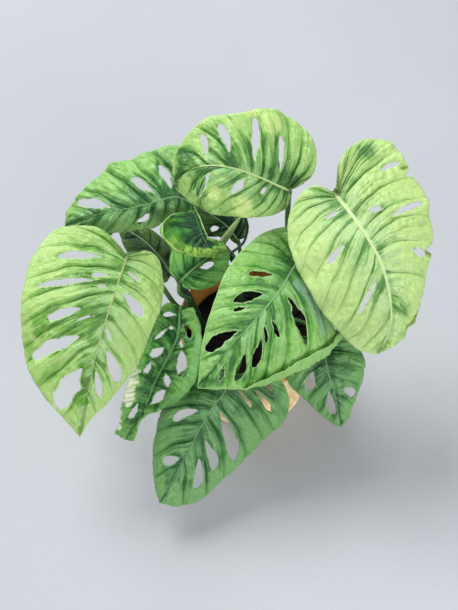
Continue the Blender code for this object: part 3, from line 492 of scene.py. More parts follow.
def bell(value, width):
    """1 at zero, falling off on both sides over about that width."""
    return math.exp(-(value / width) ** 2)


def to_whole(turn):
    """How far a fraction is from the nearer whole number."""
    return min(turn, 1 - turn)


def half_of(out):
    """The half of a blade that a place is on: 0 for the right, 1 for the left."""
    return 0 if out >= 0 else 1


def between(table, value):
    """Where value falls in a rising table, as a row number with its fraction."""
    k = min(max(bisect.bisect_right(table, value) - 1, 0), len(table) - 2)
    return k + (value - table[k]) / (table[k + 1] - table[k])


def read(table, part):
    """The entry of a table at part of its length, blended from its two neighbours."""
    steps = len(table) - 1
    k = min(int(part * steps), steps - 1)
    return table[k] + (table[k + 1] - table[k]) * (part * steps - k)


def piece(name, bm, materials, slot, *nodes):
    """Turn a bmesh in mm into a finished piece in metres that stands for its CAD nodes."""
    bmesh.ops.scale(bm, vec=(MM, MM, MM), verts=bm.verts)
    mesh = bpy.data.meshes.new(name)
    bm.to_mesh(mesh)
    bm.free()
    for mat in materials:
        mesh.materials.append(mat)
    mesh.shade_smooth()
    obj = bpy.data.objects.new(name, mesh)
    bpy.context.scene.collection.objects.link(obj)
    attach(obj, "root")
    if nodes:
        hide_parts(*nodes)


def sweep(bm, places, radii, sides, material_index=0):
    """Extrude a circle along places, with a radius for each, and close both ends."""
    steps = [(b - a).normalized() for a, b in zip(places, places[1:])]
    runs = [steps[0]] + [(a + b).normalized() for a, b in zip(steps, steps[1:])] + [steps[-1]]
    turn = Vector((0, 0, 1)).rotation_difference(runs[0]).to_matrix().to_4x4()
    start = bmesh.ops.create_circle(bm, cap_ends=True, radius=radii[0], segments=sides,
                                    matrix=Matrix.Translation(places[0]) @ turn)
    ring = start["verts"]
    faces = list(ring[0].link_faces)
    edges = list({e for v in ring for e in v.link_edges})
    for k in range(1, len(places)):
        made = bmesh.ops.extrude_edge_only(bm, edges=edges)["geom"]
        verts = [g for g in made if isinstance(g, bmesh.types.BMVert)]
        new = set(verts)
        faces += [g for g in made if isinstance(g, bmesh.types.BMFace)]
        edges = [g for g in made if isinstance(g, bmesh.types.BMEdge) and set(g.verts) <= new]
        turn = runs[k - 1].rotation_difference(runs[k]).to_matrix().to_4x4()
        size = Matrix.Scale(radii[k] / radii[k - 1], 4)
        move = Matrix.Translation(places[k]) @ size @ turn @ Matrix.Translation(-places[k - 1])
        bmesh.ops.transform(bm, matrix=move, verts=verts)
    faces += bmesh.ops.holes_fill(bm, edges=edges, sides=0)["faces"]
    for face in faces:
        face.material_index = material_index
    bmesh.ops.recalc_face_normals(bm, faces=faces)


def rod(bm, points, count, sides, radius, material_index=0):
    """Sweep a circle along a spline, with its radius from each place's part and the length."""
    places, run = spline(points, count)
    radii = [radius(k / (count - 1), run) for k in range(count)]
    sweep(bm, places, radii, sides, material_index)


def stem_radius(part):
    return STEM_FOOT_RADIUS + (STEM_TIP_RADIUS - STEM_FOOT_RADIUS) * part


def straight(start, end, rows):
    """Even steps of a profile's straight wall, from the first after its start to its end."""
    (radius, height), (last_radius, last_height) = start, end
    parts = [k / rows for k in range(1, rows + 1)]
    return [(radius + (last_radius - radius) * part, height + (last_height - height) * part)
            for part in parts]


def turned(profile, segments):
    """Spin a profile of (radius, height) points about Z."""
    bm = bmesh.new()
    verts = [bm.verts.new((r, 0, z)) for r, z in profile]
    edges = [bm.edges.new(pair) for pair in zip(verts, verts[1:])]
    bmesh.ops.spin(bm, geom=verts + edges, cent=(0, 0, 0), axis=(0, 0, 1), angle=math.tau,
                   steps=segments, use_merge=True)
    bmesh.ops.remove_doubles(bm, verts=bm.verts, dist=0.01)
    bmesh.ops.recalc_face_normals(bm, faces=bm.faces)
    return bm


# Material tools

class Tree:
    """Adds nodes to a node tree, with each input a number, a colour or another node's output."""

    def __init__(self, tree):
        self.tree = tree

    def node(self, kind, inputs=(), **settings):
        made = self.tree.nodes.new(kind)
        for name, value in settings.items():
            setattr(made, name, value)
        for key, value in dict(inputs).items():
            self.feed(made.inputs[key], value)
        return made

    def feed(self, socket, value):
        if isinstance(value, bpy.types.NodeSocket):
            self.tree.links.new(value, socket)
        elif hasattr(socket.default_value, "__len__") and len(socket.default_value) == 4:
            socket.default_value = (*tuple(value)[:3], 1.0)
        else:
            socket.default_value = value

    def math(self, operation, a, b=0.0):
        return self.node("ShaderNodeMath", {0: a, 1: b}, operation=operation).outputs[0]

    def times(self, a, b):
        return self.math("MULTIPLY", a, b)

    def total(self, start, *terms):
        """start plus each output times its weight."""
        for output, weight in terms:
            start = self.node("ShaderNodeMath", {0: output, 1: weight, 2: start},
                              operation="MULTIPLY_ADD").outputs[0]
        return start

    def blend(self, share, a, b):
        """Colour a, and that share of colour b over it."""
        made = self.node("ShaderNodeMix", {0: share}, data_type="RGBA", clamp_factor=True)
        self.feed(made.inputs[6], a)
        self.feed(made.inputs[7], b)
        return made.outputs[2]

    def ramp(self, value, low, high, start=0.0, end=1.0):
        """start where the value is low, end where it is high, and smooth between."""
        made = self.node("ShaderNodeMapRange", {0: value, 1: low, 2: high, 3: start, 4: end},
                         interpolation_type="SMOOTHSTEP")
        return made.outputs[0]

    def noise(self, vector, scale, detail=3.0, roughness=0.5, distortion=0.0):
        made = self.node("ShaderNodeTexNoise", {"Vector": vector, "Scale": scale, "Detail": detail,
                                                "Roughness": roughness, "Distortion": distortion})
        return made.outputs[0]

    def cells(self, vector, scale):
        made = self.node("ShaderNodeTexVoronoi", {"Vector": vector, "Scale": scale},
                         feature="DISTANCE_TO_EDGE")
        return made.outputs["Distance"]

    def place(self):
        return self.node("ShaderNodeTexCoord").outputs["Object"]

    def stretched(self, vector, scale):
        return self.node("ShaderNodeMapping", {"Vector": vector, "Scale": scale}).outputs[0]

    def map(self, name):
        return self.node("ShaderNodeUVMap", uv_map=name).outputs[0]

    def parts(self, vector):
        return self.node("ShaderNodeSeparateXYZ", {0: vector}).outputs

    def attribute(self, name):
        return self.node("ShaderNodeAttribute", attribute_name=name).outputs["Fac"]

    def bump(self, height, strength, distance):
        made = self.node("ShaderNodeBump", {"Height": height, "Strength": strength,
                                            "Distance": distance})
        return made.outputs[0]

    def finish(self, shader, shade, roughness, height, strength, distance):
        """Feed a shader its colour, its roughness and a bump of that height."""
        self.feed(shader.inputs["Base Color"], shade)
        self.feed(shader.inputs["Roughness"], roughness)
        self.feed(shader.inputs["Normal"], self.bump(height, strength, distance))


def new_material(name, **constants):
    """A material's node helper and shader, with what is even all over set on the shader itself."""
    mat = bpy.data.materials.new(name)
    mat.use_nodes = True
    tree = Tree(mat.node_tree)
    shader = mat.node_tree.nodes["Principled BSDF"]
    for key, value in constants.items():
        tree.feed(shader.inputs[key.replace("_", " ")], value)
    return mat, tree, shader


def new_group(name, inputs, outputs):
    """An empty shader group with named sockets: the group, its helper, what it gets and gives."""
    group = bpy.data.node_groups.new(name, "ShaderNodeTree")
    for socket, (kind, value) in inputs.items():
        made = group.interface.new_socket(name=socket, in_out="INPUT", socket_type=kind)
        made.default_value = (*value, 1.0) if kind == "NodeSocketColor" else value
    for socket, kind in outputs.items():
        group.interface.new_socket(name=socket, in_out="OUTPUT", socket_type=kind)
    tree = Tree(group)
    entry = group.nodes.new("NodeGroupInput")
    leave = group.nodes.new("NodeGroupOutput")
    return group, tree, entry.outputs, leave.inputs


def use_group(tree, group, **values):
    """A group placed in a material with its own values: its outputs."""
    made = tree.node("ShaderNodeGroup", node_tree=group)
    for key, value in values.items():
        tree.feed(made.inputs[key.replace("_", " ")], value)
    return made.outputs


# Leaf finish

PALETTES = {
    # tone, pale panels, green, dark streaks and painted shade, painted sheen by the midrib, midrib, cut
    # edge, underside, spots
    # bright: its spots are painted shade along the rims of the holes
    "bright": (0.54, (0.43, 0.64, 0.20), (0.19, 0.41, 0.065), (0.040, 0.16, 0.012),
               (0.38, 0.58, 0.34), (0.38, 0.48, 0.18), (0.58, 0.76, 0.36), (0.22, 0.38, 0.10),
               (0.12, 0.32, 0.03)),
    "lime": (0.66, (0.50, 0.68, 0.24), (0.24, 0.45, 0.11), (0.05, 0.18, 0.03),
             (0.46, 0.66, 0.38), (0.54, 0.68, 0.32), (0.60, 0.76, 0.38), (0.14, 0.25, 0.04),
             (0.13, 0.22, 0.02)),
    "fresh": (0.54, (0.42, 0.66, 0.20), (0.14, 0.35, 0.06), (0.012, 0.09, 0.012),
              (0.26, 0.48, 0.26), (0.50, 0.66, 0.26), (0.52, 0.74, 0.32), (0.22, 0.44, 0.12),
              (0.60, 0.78, 0.26)),
    "middle": (0.50, (0.29, 0.55, 0.14), (0.10, 0.31, 0.055), (0.015, 0.09, 0.022),
               (0.24, 0.43, 0.26), (0.20, 0.41, 0.18), (0.42, 0.64, 0.28), (0.34, 0.56, 0.25),
                (0.30, 0.52, 0.34)),
    # centre: its spots are painted sheen on a satin strip
    "centre": (0.50, (0.28, 0.53, 0.14), (0.10, 0.33, 0.035), (0.03, 0.14, 0.03),
               (0.27, 0.47, 0.27), (0.22, 0.44, 0.19), (0.42, 0.64, 0.28), (0.27, 0.50, 0.14),
               (0.24, 0.47, 0.26)),
    "deep": (0.50, (0.165, 0.37, 0.105), (0.06, 0.215, 0.045), (0.012, 0.075, 0.014),
             (0.16, 0.29, 0.16), (0.13, 0.28, 0.11), (0.24, 0.42, 0.18), (0.12, 0.26, 0.09),
             (0.22, 0.34, 0.24)),
    "curled": (0.42, (0.17, 0.41, 0.07), (0.040, 0.21, 0.025), (0.006, 0.07, 0.012),
               (0.17, 0.36, 0.15), (0.14, 0.34, 0.11), (0.30, 0.56, 0.20), (0.13, 0.33, 0.09),
               (0.78, 0.82, 0.58)),
    # dark: the cup darkened as painted shade; its spots are painted light on the band along the near
    # margin, and its cut edge a painted highlight along that margin
    "dark": (0.24, (0.10, 0.33, 0.035), (0.018, 0.12, 0.018), (0.002, 0.032, 0.011),
             (0.06, 0.20, 0.09), (0.05, 0.18, 0.05), (0.52, 0.70, 0.30), (0.30, 0.54, 0.11),
             (0.30, 0.54, 0.08)),
    "minty": (0.46, (0.26, 0.60, 0.13), (0.06, 0.32, 0.035), (0.006, 0.09, 0.015),
              (0.24, 0.52, 0.24), (0.32, 0.60, 0.20), (0.32, 0.56, 0.20), (0.14, 0.32, 0.08),
              (0.34, 0.58, 0.36)),
    "shaded": (0.36, (0.085, 0.18, 0.02), (0.014, 0.075, 0.015), (0.002, 0.026, 0.010),
               (0.04, 0.12, 0.06), (0.22, 0.34, 0.13), (0.14, 0.24, 0.07), (0.08, 0.13, 0.03),
               (0.10, 0.16, 0.03)),
}
SHADES = ("Pale", "Green", "Dark", "Sheen", "Midrib", "Cut Edge", "Under", "Spot")


def blade_pattern():
    """Veins, mottling and margins of a leaf blade, drawn along its own veins and in its flat."""
    tone, *shades = PALETTES["fresh"]
    inputs = {name: ("NodeSocketColor", shade) for name, shade in zip(SHADES, shades)}
    inputs["Tone"] = ("NodeSocketFloat", tone)
    group, tree, entry, leave = new_group(
        "blade_pattern", inputs,
        {"Colour": "NodeSocketColor", "Roughness": "NodeSocketFloat", "Height": "NodeSocketFloat"})
    flat = tree.map("flat")
    along = tree.map("veins")
    veins = tree.parts(along)
    out = veins[1]
    spacing, edge, hole, under, rib, spot, paler = [
        tree.attribute(name) for name in ("spacing", "edge", "hole", "under", "rib", "spot", "shade")]

    wavy = tree.total(tree.math("ADD", veins[0], -0.03), (tree.noise(flat, 14.0), 0.06))
    halfway = tree.math("ADD", wavy, 0.5)
    to_vein = tree.times(tree.math("PINGPONG", wavy, 0.5), spacing)
    to_second = tree.times(tree.math("PINGPONG", halfway, 0.5), spacing)
    patches = tree.noise(flat, 4.5, 4.0, 0.6, 0.6)
    clouds = tree.noise(flat, 26.0, 3.0, 0.6)
    streaks = tree.noise(tree.stretched(along, (6.5, 1.8, 1.0)), 1.0, 4.0, 0.6)
    broad = tree.noise(tree.stretched(along, (1.3, 1.0, 1.0)), 1.0, 2.0)
    creases = tree.noise(tree.stretched(along, (15.0, 1.6, 1.0)), 1.0, 2.0, 0.6, 0.3)
    # Painted shade in the creases beside the midrib
    crease = tree.times(tree.ramp(creases, 0.48, 0.36), tree.ramp(out, 0.75, 0.2))
    # Painted shade just before each side vein, on the side of each panel that faces away from the light
    before = tree.ramp(tree.math("FRACT", wavy), 0.62, 0.96)
    net = tree.cells(flat, 46.0)
    fine = tree.cells(flat, 105.0)

    # How light each place is, from the dark streaks to the pale panels, with painted shade in the vein
    # grooves, by the holes, beside the midrib, before each vein and in the creases
    panel = tree.ramp(to_vein, 0.2, 4.5)
    outward = tree.ramp(out, 0.05, 0.85)
    # Painted shade by the holes, where the blade turns down, and beside the midrib
    hole_shade = tree.times(tree.ramp(hole, 5.5, 0.6), tree.ramp(streaks, 0.62, 0.44))
    rib_shade = tree.times(tree.ramp(out, 0.24, 0.05), tree.ramp(broad, 0.58, 0.42))
    tone = tree.total(tree.math("SUBTRACT", entry["Tone"], 2.00), (panel, 0.20), (outward, 0.38),
                      (patches, 1.7), (streaks, 1.25), (broad, 0.85), (hole_shade, -0.45),
                      (rib_shade, -0.27), (before, -0.22), (crease, -0.34), (paler, 1.0),
                      (tree.ramp(edge, 4.0, 0.5), 0.18))
    shade = tree.blend(tree.ramp(tone, 0.08, 0.42), entry["Dark"], entry["Green"])
    shade = tree.blend(tree.ramp(tone, 0.38, 0.86), shade, entry["Pale"])
    # Painted sheen: a pale mint colour near the midrib that stands in for the glossy reflection of the
    # sky
    painted_sheen = tree.times(tree.ramp(out, 0.62, 0.06), tree.ramp(clouds, 0.36, 0.60))
    painted_sheen = tree.times(painted_sheen, tree.ramp(tone, 0.25, 0.55))
    shade = tree.blend(tree.times(painted_sheen, 0.65), shade, entry["Sheen"])

    # Vein lines, the finer net between them, the midrib and the cut edge
    line = tree.times(tree.ramp(to_vein, 0.62, 0.14), tree.ramp(out, 0.95, 0.35, 0.25, 0.80))
    line = tree.times(line, tree.ramp(broad, 0.36, 0.56, 0.45, 1.0))
    web = tree.math("ADD", tree.ramp(net, 0.12, 0.0, 0.0, 0.32),
                    tree.ramp(fine, 0.15, 0.0, 0.0, 0.20))
    shade = tree.blend(line, shade, entry["Dark"])
    shade = tree.blend(tree.ramp(to_second, 0.42, 0.08, 0.0, 0.32), shade, entry["Green"])
    shade = tree.blend(web, shade, entry["Green"])
    shade = tree.blend(tree.ramp(rib, 1.05, 0.75), shade, entry["Midrib"])
    shade = tree.blend(tree.ramp(edge, 0.9, 0.35, 0.0, 0.75), shade, entry["Cut Edge"])

    # The underside, and spots over both; some spots are painted shade, painted sheen or painted light
    below = tree.blend(tree.ramp(clouds, 0.4, 0.7, 0.0, 0.5), entry["Under"], entry["Pale"])
    below = tree.blend(tree.ramp(streaks, 0.48, 0.62, 0.0, 0.5), below, entry["Green"])
    below = tree.blend(tree.ramp(to_vein, 0.9, 0.2, 0.0, 0.6), below, entry["Midrib"])
    spotted = tree.times(spot, tree.ramp(streaks, 0.40, 0.54, 0.35, 1.0))
    shade = tree.blend(under, shade, below)
    tree.feed(leave["Colour"], tree.blend(spotted, shade, entry["Spot"]))

    rough = tree.total(tree.ramp(clouds, 0.3, 0.7, 0.26, 0.40), (under, 0.2))
    tree.feed(leave["Roughness"], rough)

    height = tree.total(tree.ramp(to_vein, 0.0, 0.6, -0.8, 0.0), (tree.ramp(net, 0.0, 0.35), 0.8),
                        (tree.ramp(fine, 0.0, 0.35), 0.4), (streaks, 1.4), (creases, 2.4),
                        (tree.ramp(to_second, 0.4, 0.0), -0.35))
    tree.feed(leave["Height"], height)
    return group


def leaf_material(group, palette):
    """The blade pattern in the colours of one palette."""
    mat, tree, shader = new_material("leaf_" + palette, Specular_IOR_Level=0.5)
    made = use_group(tree, group, **dict(zip(("Tone", *SHADES), PALETTES[palette])))
    tree.finish(shader, made["Colour"], made["Roughness"], made["Height"], 0.6, 0.0004)
    return mat


def soft_grain():
    """Soft patches and fine specks in Object space, for stems, plastic, soil and floor."""
    group, tree, entry, leave = new_group(
        "soft_grain",
        {"Light": ("NodeSocketColor", (0.5, 0.5, 0.5)), "Dark": ("NodeSocketColor", (0.1, 0.1, 0.1)),
         "Patch Scale": ("NodeSocketFloat", 40.0), "Speck Scale": ("NodeSocketFloat", 400.0)},
        {"Colour": "NodeSocketColor", "Patches": "NodeSocketFloat", "Specks": "NodeSocketFloat"})
    place = tree.place()
    patches = tree.noise(place, entry["Patch Scale"], 4.0, 0.6)
    specks = tree.noise(place, entry["Speck Scale"], 2.0, 0.6)
    share = tree.math("ADD", tree.ramp(patches, 0.35, 0.65, 0.0, 0.7),
                      tree.ramp(specks, 0.4, 0.65, 0.0, 0.3))
    tree.feed(leave["Colour"], tree.blend(share, entry["Dark"], entry["Light"]))
    tree.feed(leave["Patches"], patches)
    tree.feed(leave["Specks"], specks)
    return group


def grain_material(name, light, dark, patch_scale, speck_scale, rough, bump, **constants):
    """A material of the shared grain, with roughness from its patches and bump from its specks."""
    mat, tree, shader = new_material(name, **constants)
    group = bpy.data.node_groups.get("soft_grain") or soft_grain()
    made = use_group(tree, group, Light=light, Dark=dark, Patch_Scale=patch_scale,
                     Speck_Scale=speck_scale)
    roughness = tree.ramp(made["Patches"], 0.3, 0.7, *rough)
    tree.finish(shader, made["Colour"], roughness, made["Specks"], 0.6, bump)
    return mat


# Leaf blades

class Hole:
    """A drop-shaped hole in the flat of a blade, bowed the way the side veins are."""
    egg = 0.22      # how much wider its outer end is
    bow = 0.07      # how far its middle lies off its line, in parts of half its length

    def __init__(self, blade_length, spec):
        a0, b0, a1, b1, width = [value * blade_length for value in spec]
        self.centre = Vector(((a0 + a1) / 2, (b0 + b1) / 2))
        run = Vector((a1 - a0, b1 - b0))
        self.long = run.length / 2
        self.wide = width / 2
        self.axis = run.normalized()
        self.across = Vector((-self.axis.y, self.axis.x))
        if self.across.x > 0:
            self.across.negate()
        self.half = half_of(b1)
        rim = []
        count = 40 + round(24 * self.long)
        for k in range(count):
            turn = math.tau * k / count
            u = math.cos(turn)
            v = self.width(u, math.sin(turn)) * math.sin(turn) + self.bow * self.long * (1 - u * u)
            rim.append(self.centre + self.axis * (self.long * u) + self.across * v)
        self.rim = points_tree(rim)

    def width(self, u, side):
        """Half the hole's width on one side, u from -1 at its inner end to 1 at its outer one."""
        uneven = 1 + 0.4 * noise.noise(Vector((2.0 * u, 7.3 if side > 0 else 2.1, self.centre.x)))
        return self.wide * uneven * (1 + self.egg * u) * (1 - 0.42 * ease(-u, 0.1, 1.0))

    def holds(self, x, y):
        dx = x - self.centre.x
        dy = y - self.centre.y
        u = (dx * self.axis.x + dy * self.axis.y) / self.long
        if abs(u) >= 1:
            return False
        v = dx * self.across.x + dy * self.across.y - self.bow * self.long * (1 - u * u)
        return u * u + (v / self.width(u, v)) ** 2 < 1


def points_tree(places):
    """A search tree for the nearest of some flat places."""
    tree = kdtree.KDTree(len(places))
    for k, place in enumerate(places):
        tree.insert((place.x, place.y, 0.0), k)
    tree.balance()
    return tree


def open_sinus(margin):
    """Draw the start of a margin in, so that no vein of a basal lobe crosses the sinus."""
    for k in reversed(range(len(margin) // 3)):
        here = margin[k]
        after = margin[k + 1]
        if here.x < 0 and after.x < 0:
            here.y = min(here.y, 0.99 * after.y * here.x / after.x)
    return margin


class Blade:
    """The surface of one leaf: flat places (along, out) in mm become places in space."""
    samples = 60
    margin_steps = 160

    def __init__(self, leaf):
        self.leaf = leaf
        self.path, self.length = spline(leaf.midrib, self.samples + 1)
        chord = (self.path[-1] - self.path[0]).normalized()
        self.along = []
        self.up = []
        self.side = []
        for k in range(self.samples + 1):
            before = self.path[max(k - 1, 0)]
            after = self.path[min(k + 1, self.samples)]
            # The sheet turns less than the midrib does, so that it isn't pinched in the bends
            run = (0.4 * (after - before).normalized() + 0.6 * chord).normalized()
            face = Vector(leaf.face)
            up = (face - face.dot(run) * run).normalized()
            self.along.append(run)
            self.up.append(up)
            self.side.append(run.cross(up))
        self.margins = []
        self.margin_lengths = []
        for outline in (leaf.right, leaf.left):
            scaled = [Vector((a * self.length, b * self.length, 0)) for a, b in outline]
            places, run = spline(scaled, self.margin_steps + 1)
            self.margins.append(open_sinus(places))
            self.margin_lengths.append(run)
        roots = [self.vein_roots(half) for half in (0, 1)]
        self.roots = [(a + b) / 2 for a, b in zip(*roots)]
        self.ends = [[between(table, root) / self.margin_steps for root in self.roots]
                     for table in roots]
        self.widths = [max(p.y for p in margin) for margin in self.margins]
        self.holes = [Hole(self.length, hole) for hole in leaf.holes]
        self.vein_ends = [self.find_veins(half) for half in (0, 1)]

    def away(self, spot, along, out):
        """How far a flat place in mm is from (along, out), which are in parts of the length."""
        return (spot.xy - Vector((along, out)) * self.length).length / self.length

    def vein_roots(self, half):
        """How far along the midrib the vein starts that ends at each place of a margin."""
        roots = []
        last = 0.0
        steps = self.margin_steps
        for k, place in enumerate(self.margins[half]):
            share = place.x / self.length
            forward = self.leaf.lean[half] + 0.8 * share + 1.2 * max(share, 0.0) ** 3
            fan = VEIN_FAN * self.length * k / steps
            last = max(place.x - forward * place.y, fan, last + 0.03 * self.length / steps)
            roots.append(last)
        for _ in range(3):
            inner = [sum(roots[k - 6:k + 7]) / 13 for k in range(6, steps - 5)]
            roots = roots[:6] + inner + roots[-6:]
        return [(root - roots[0]) * self.length / (roots[-1] - roots[0]) for root in roots]

    def vein(self, half, part, out):
        """Flat place on the side vein that leaves the midrib at part; out runs 0 to 1."""
        root = Vector((read(self.roots, part), 0.0))
        place = read(self.ends[half], part)
        end = read(self.margins[half], place).xy
        for side, where, depth, wide in self.leaf.nicks:
            if side == half:
                end = end.lerp(root, depth * bell(place - where, wide))
        run = end - root
        bow = VEIN_BOW * max(run.y, 0.0) ** 2 / max(run.length, 0.001) * ease(part, 0.0, 0.2)
        bend = (root + end) / 2 + Vector((-run.y, run.x)).normalized() * bow
        spot = (1 - out) ** 2 * root + 2 * (1 - out) * out * bend + out ** 2 * end
        return spot.x, -spot.y if half else spot.y

    def curl(self, half, part):
        """Width in mm and turn in radians of a margin's curl, and its start and end in out."""
        for side, first, last, width, turn in self.leaf.rolls:
            if side == half and first < part < last:
                width *= math.sin(math.pi * (part - first) / (last - first)) ** 0.6
                turn = min(math.radians(turn), width / CURL_RADIUS)
                root, end = [Vector(self.vein(half, part, out)) for out in (0.0, 1.0)]
                length = (end - root).length
                start = 1 - CURL_RADIUS * math.sin(min(turn, math.pi / 2)) / length
                return width, turn, start, start + width / length
        return 0.0, 0.0, 1.0, 1.0

    def curled(self, half, part, out):
        """The place in space on a curled margin, out beyond the start of its curl."""
        width, turn, start, end = self.curl(half, part)
        spot = self.point(*self.vein(half, part, start))
        run = (spot - self.point(*self.vein(half, part, start - 0.03))).normalized()
        ahead = self.point(*self.vein(half, min(part + 0.02, 1.0), start)) - spot
        up = run.cross(ahead).normalized()
        if up.dot(Vector(self.leaf.face)) < 0:
            up.negate()
        beyond = width * (out - start) / (end - start)
        angle = min(beyond / CURL_RADIUS, turn)
        flap = beyond - angle * CURL_RADIUS
        spot += run * (CURL_RADIUS * math.sin(angle) + flap * math.cos(angle))
        return spot + up * (CURL_RADIUS * (1 - math.cos(angle)) + flap * math.sin(angle))

    def find_veins(self, half):
        """Where the side veins leave the midrib: between the holes, and evenly where none are."""
        steps = 60
        step = 1 / self.leaf.veins
        spread = [(k / steps + read(self.ends[half], k / steps)) / 2 for k in range(steps + 1)]
        centres = []
        for hole in self.holes:
            if hole.half == half:
                tries = [(k / steps, j / 12) for k in range(steps + 1) for j in range(2, 11)]
                best = min(tries, key=lambda t: (Vector(self.vein(half, *t)) - hole.centre).length)
                centre = read(spread, best[0])
                if all(abs(centre - c) > 0.4 * step for c in centres):
                    centres.append(centre)
        marks = [-step / 2] + sorted(centres) + [1 + step / 2]
        panels = [marks[0]]
        for a, b in zip(marks, marks[1:]):
            count = max(1, round((b - a) / step))
            panels += [a + (b - a) * k / count for k in range(1, count + 1)]
        return [between(spread, (a + b) / 2) / steps for a, b in zip(panels, panels[1:])]

    def phase(self, half, part, spot=None):
        """Number of side veins passed from the sinus, with the fraction to the next."""
        wander = 0.0
        if spot is not None:
            wander = VEIN_WANDER * noise.noise(Vector((spot.x, spot.y, 31.0 * half)) * 0.06)
        return between(self.vein_ends[half], part) + wander

    def point(self, along, out):
        """The place in space of a flat place."""
        part = clamped(along / self.length)
        k = min(int(part * self.samples), self.samples - 1)
        mix = part * self.samples - k
        centre, run, up, side = [row[k].lerp(row[k + 1], mix)
                                 for row in (self.path, self.along, self.up, self.side)]
        half = half_of(out)
        width = self.widths[half]
        reach = abs(out) / width
        start = math.radians(self.leaf.lift[half])
        base, tip = self.leaf.curl[half]
        bend = math.radians(base + (tip - base) * part)
        if abs(bend) < 0.001:
            bend = 0.001
        across = width / bend * (math.sin(start + bend * reach) - math.sin(start))
        height = width / bend * (math.cos(start) - math.cos(start + bend * reach))
        size, count, phase = self.leaf.wave
        height += size * reach ** 2 * math.sin(math.tau * count * part + phase + 1.7 * half)
        beyond = along - part * self.length
        across = across if half == 0 else -across
        return centre + run * beyond + side * across + up * height


def blade_grid(blade):
    """The flat blade as a grid along its side veins, with its vein maps."""
    leaf = blade.leaf
    cell = SMALL_CELL if sum(blade.widths) < SLIM_LEAF else CELL
    rows = round(max(blade.margin_lengths) / cell)
    columns = 2 * round(sum(blade.widths) / cell / 2)
    bm = bmesh.new()
    bmesh.ops.create_grid(bm, x_segments=rows, y_segments=columns, size=1.0)
    layers = {name: bm.verts.layers.float.new(name)
              for name in ("part", "turn", "out", "spacing", "edge", "hole", "rib", "girth", "under",
                           "over", "spot", "shade")}
    step = 0.01
    for vert in bm.verts:
        part = clamped((vert.co.x + 1) / 2)
        half = half_of(vert.co.y)
        width, _, start, end = blade.curl(half, part)
        out = abs(vert.co.y) * end
        vert.co = (*blade.vein(half, part, out), 0.0)
        low = max(part - step, 0.0)
        high = min(part + step, 1.0)
        a = Vector(blade.vein(half, low, max(out, 0.1)))
        b = Vector(blade.vein(half, high, max(out, 0.1)))
        vert[layers["part"]] = part
        vert[layers["turn"]] = blade.phase(half, part, vert.co) % 1.0
        vert[layers["out"]] = out
        vert[layers["spacing"]] = (b - a).length / (blade.phase(half, high) - blade.phase(half, low))
        root = Vector(blade.vein(half, part, 0.0))
        vert[layers["edge"]] = (end - out) * (Vector(blade.vein(half, part, 1.0)) - root).length
        vert[layers["over"]] = 1 + half if width and out > start else 0
        vert[layers["hole"]] = FAR
        vert[layers["shade"]] = leaf.shades[half] * ease(out, 0.0, 0.15)
    flat = bm.loops.layers.uv.new("flat")
    veins = bm.loops.layers.uv.new("veins")
    for face in bm.faces:
        half = half_of(face.calc_center_median().y)
        for loop in face.loops:
            vert = loop.vert
            loop[flat].uv = (vert.co.x / 100, vert.co.y / 100)
            phase = blade.phase(half, vert[layers["part"]], vert.co)
            loop[veins].uv = (phase, vert[layers["out"]])
    return bm, layers


def cut_holes(bm, blade, layers):
    """Remove the faces inside each hole and draw its edge on to a smooth rim."""
    for hole in blade.holes:
        gone = []
        for face in bm.faces:
            middle = face.calc_center_median()
            near = abs(middle.x - hole.centre.x) < hole.long + hole.wide
            if near and hole.holds(middle.x, middle.y):
                gone.append(face)
        ring = {v for f in gone for v in f.verts}
        bmesh.ops.delete(bm, geom=gone, context="FACES")
        for vert in bm.verts:
            if vert in ring or hole.holds(vert.co.x, vert.co.y):
                vert.co = hole.rim.find(vert.co)[0]
    for vert in bm.verts:
        for hole in blade.holes:
            away = hole.rim.find(vert.co)[2]
            vert[layers["hole"]] = min(vert[layers["hole"]], away)
            vert[layers["edge"]] = min(vert[layers["edge"]], away)


def relief(blade, settings, vert, layers):
    """Height of the blade's quilting over its flat sheet at one vertex, in mm."""
    leaf = blade.leaf
    half = half_of(vert.co.y)
    quilt = leaf.quilt[half] * settings.quilting
    out = vert[layers["out"]]
    spacing = vert[layers["spacing"]]
    spot = Vector((vert.co.x, vert.co.y, 17.0 * len(leaf.name)))
    phase = blade.phase(half, vert[layers["part"]], vert.co)
    panel = math.floor(phase)
    own = noise.noise(Vector((3.7 * panel, 9.1 * half, spot.z)))
    turn = (phase - panel) ** (1 + own)
    to_vein = to_whole(turn) * spacing
    lumps = abs(noise.noise(spot * 0.14)) + 0.5 * abs(noise.noise(spot * 0.33))
    spread = ease(out, 0.02, 0.20) * (1 - 0.5 * ease(out, 0.75, 1.0))
    crown = math.sin(math.pi * turn) ** 0.6
    swelling = min(spacing / QUILT_SPACING, 1.15)
    height = quilt * swelling * (1 + own) * spread * crown * (0.7 + 1.2 * lumps)
    folds = 0.3 - abs(noise.noise(Vector((3.8 * phase, 1.5 * out, spot.z))))
    folds += 0.4 * (0.3 - abs(noise.noise(Vector((8.0 * phase, 2.0 * out, spot.z)))))
    folds *= FOLD_HEIGHT * leaf.folds[half]
    height += folds * ease(out, 0.0, 0.1) * (1 - 0.6 * ease(out, 0.1, 0.9))
    height += FINE_HEIGHT * noise.noise(spot * 0.9) * spread
    groove = settings.groove / MM * bell(to_vein, GROOVE_WIDTH)
    height -= groove * ease(out, 0.0, 0.1) * (1 - 0.7 * ease(out, 0.5, 1))
    height -= HOLE_DROP * bell(vert[layers["hole"]], HOLE_REACH)
    height -= EDGE_DROP * bell(vert[layers["edge"]], EDGE_REACH)
    rib = vert[layers["rib"]]
    height += 0.35 * bell(rib, 0.8) - 0.6 * bell(rib - 1.7, 0.7)
    return height


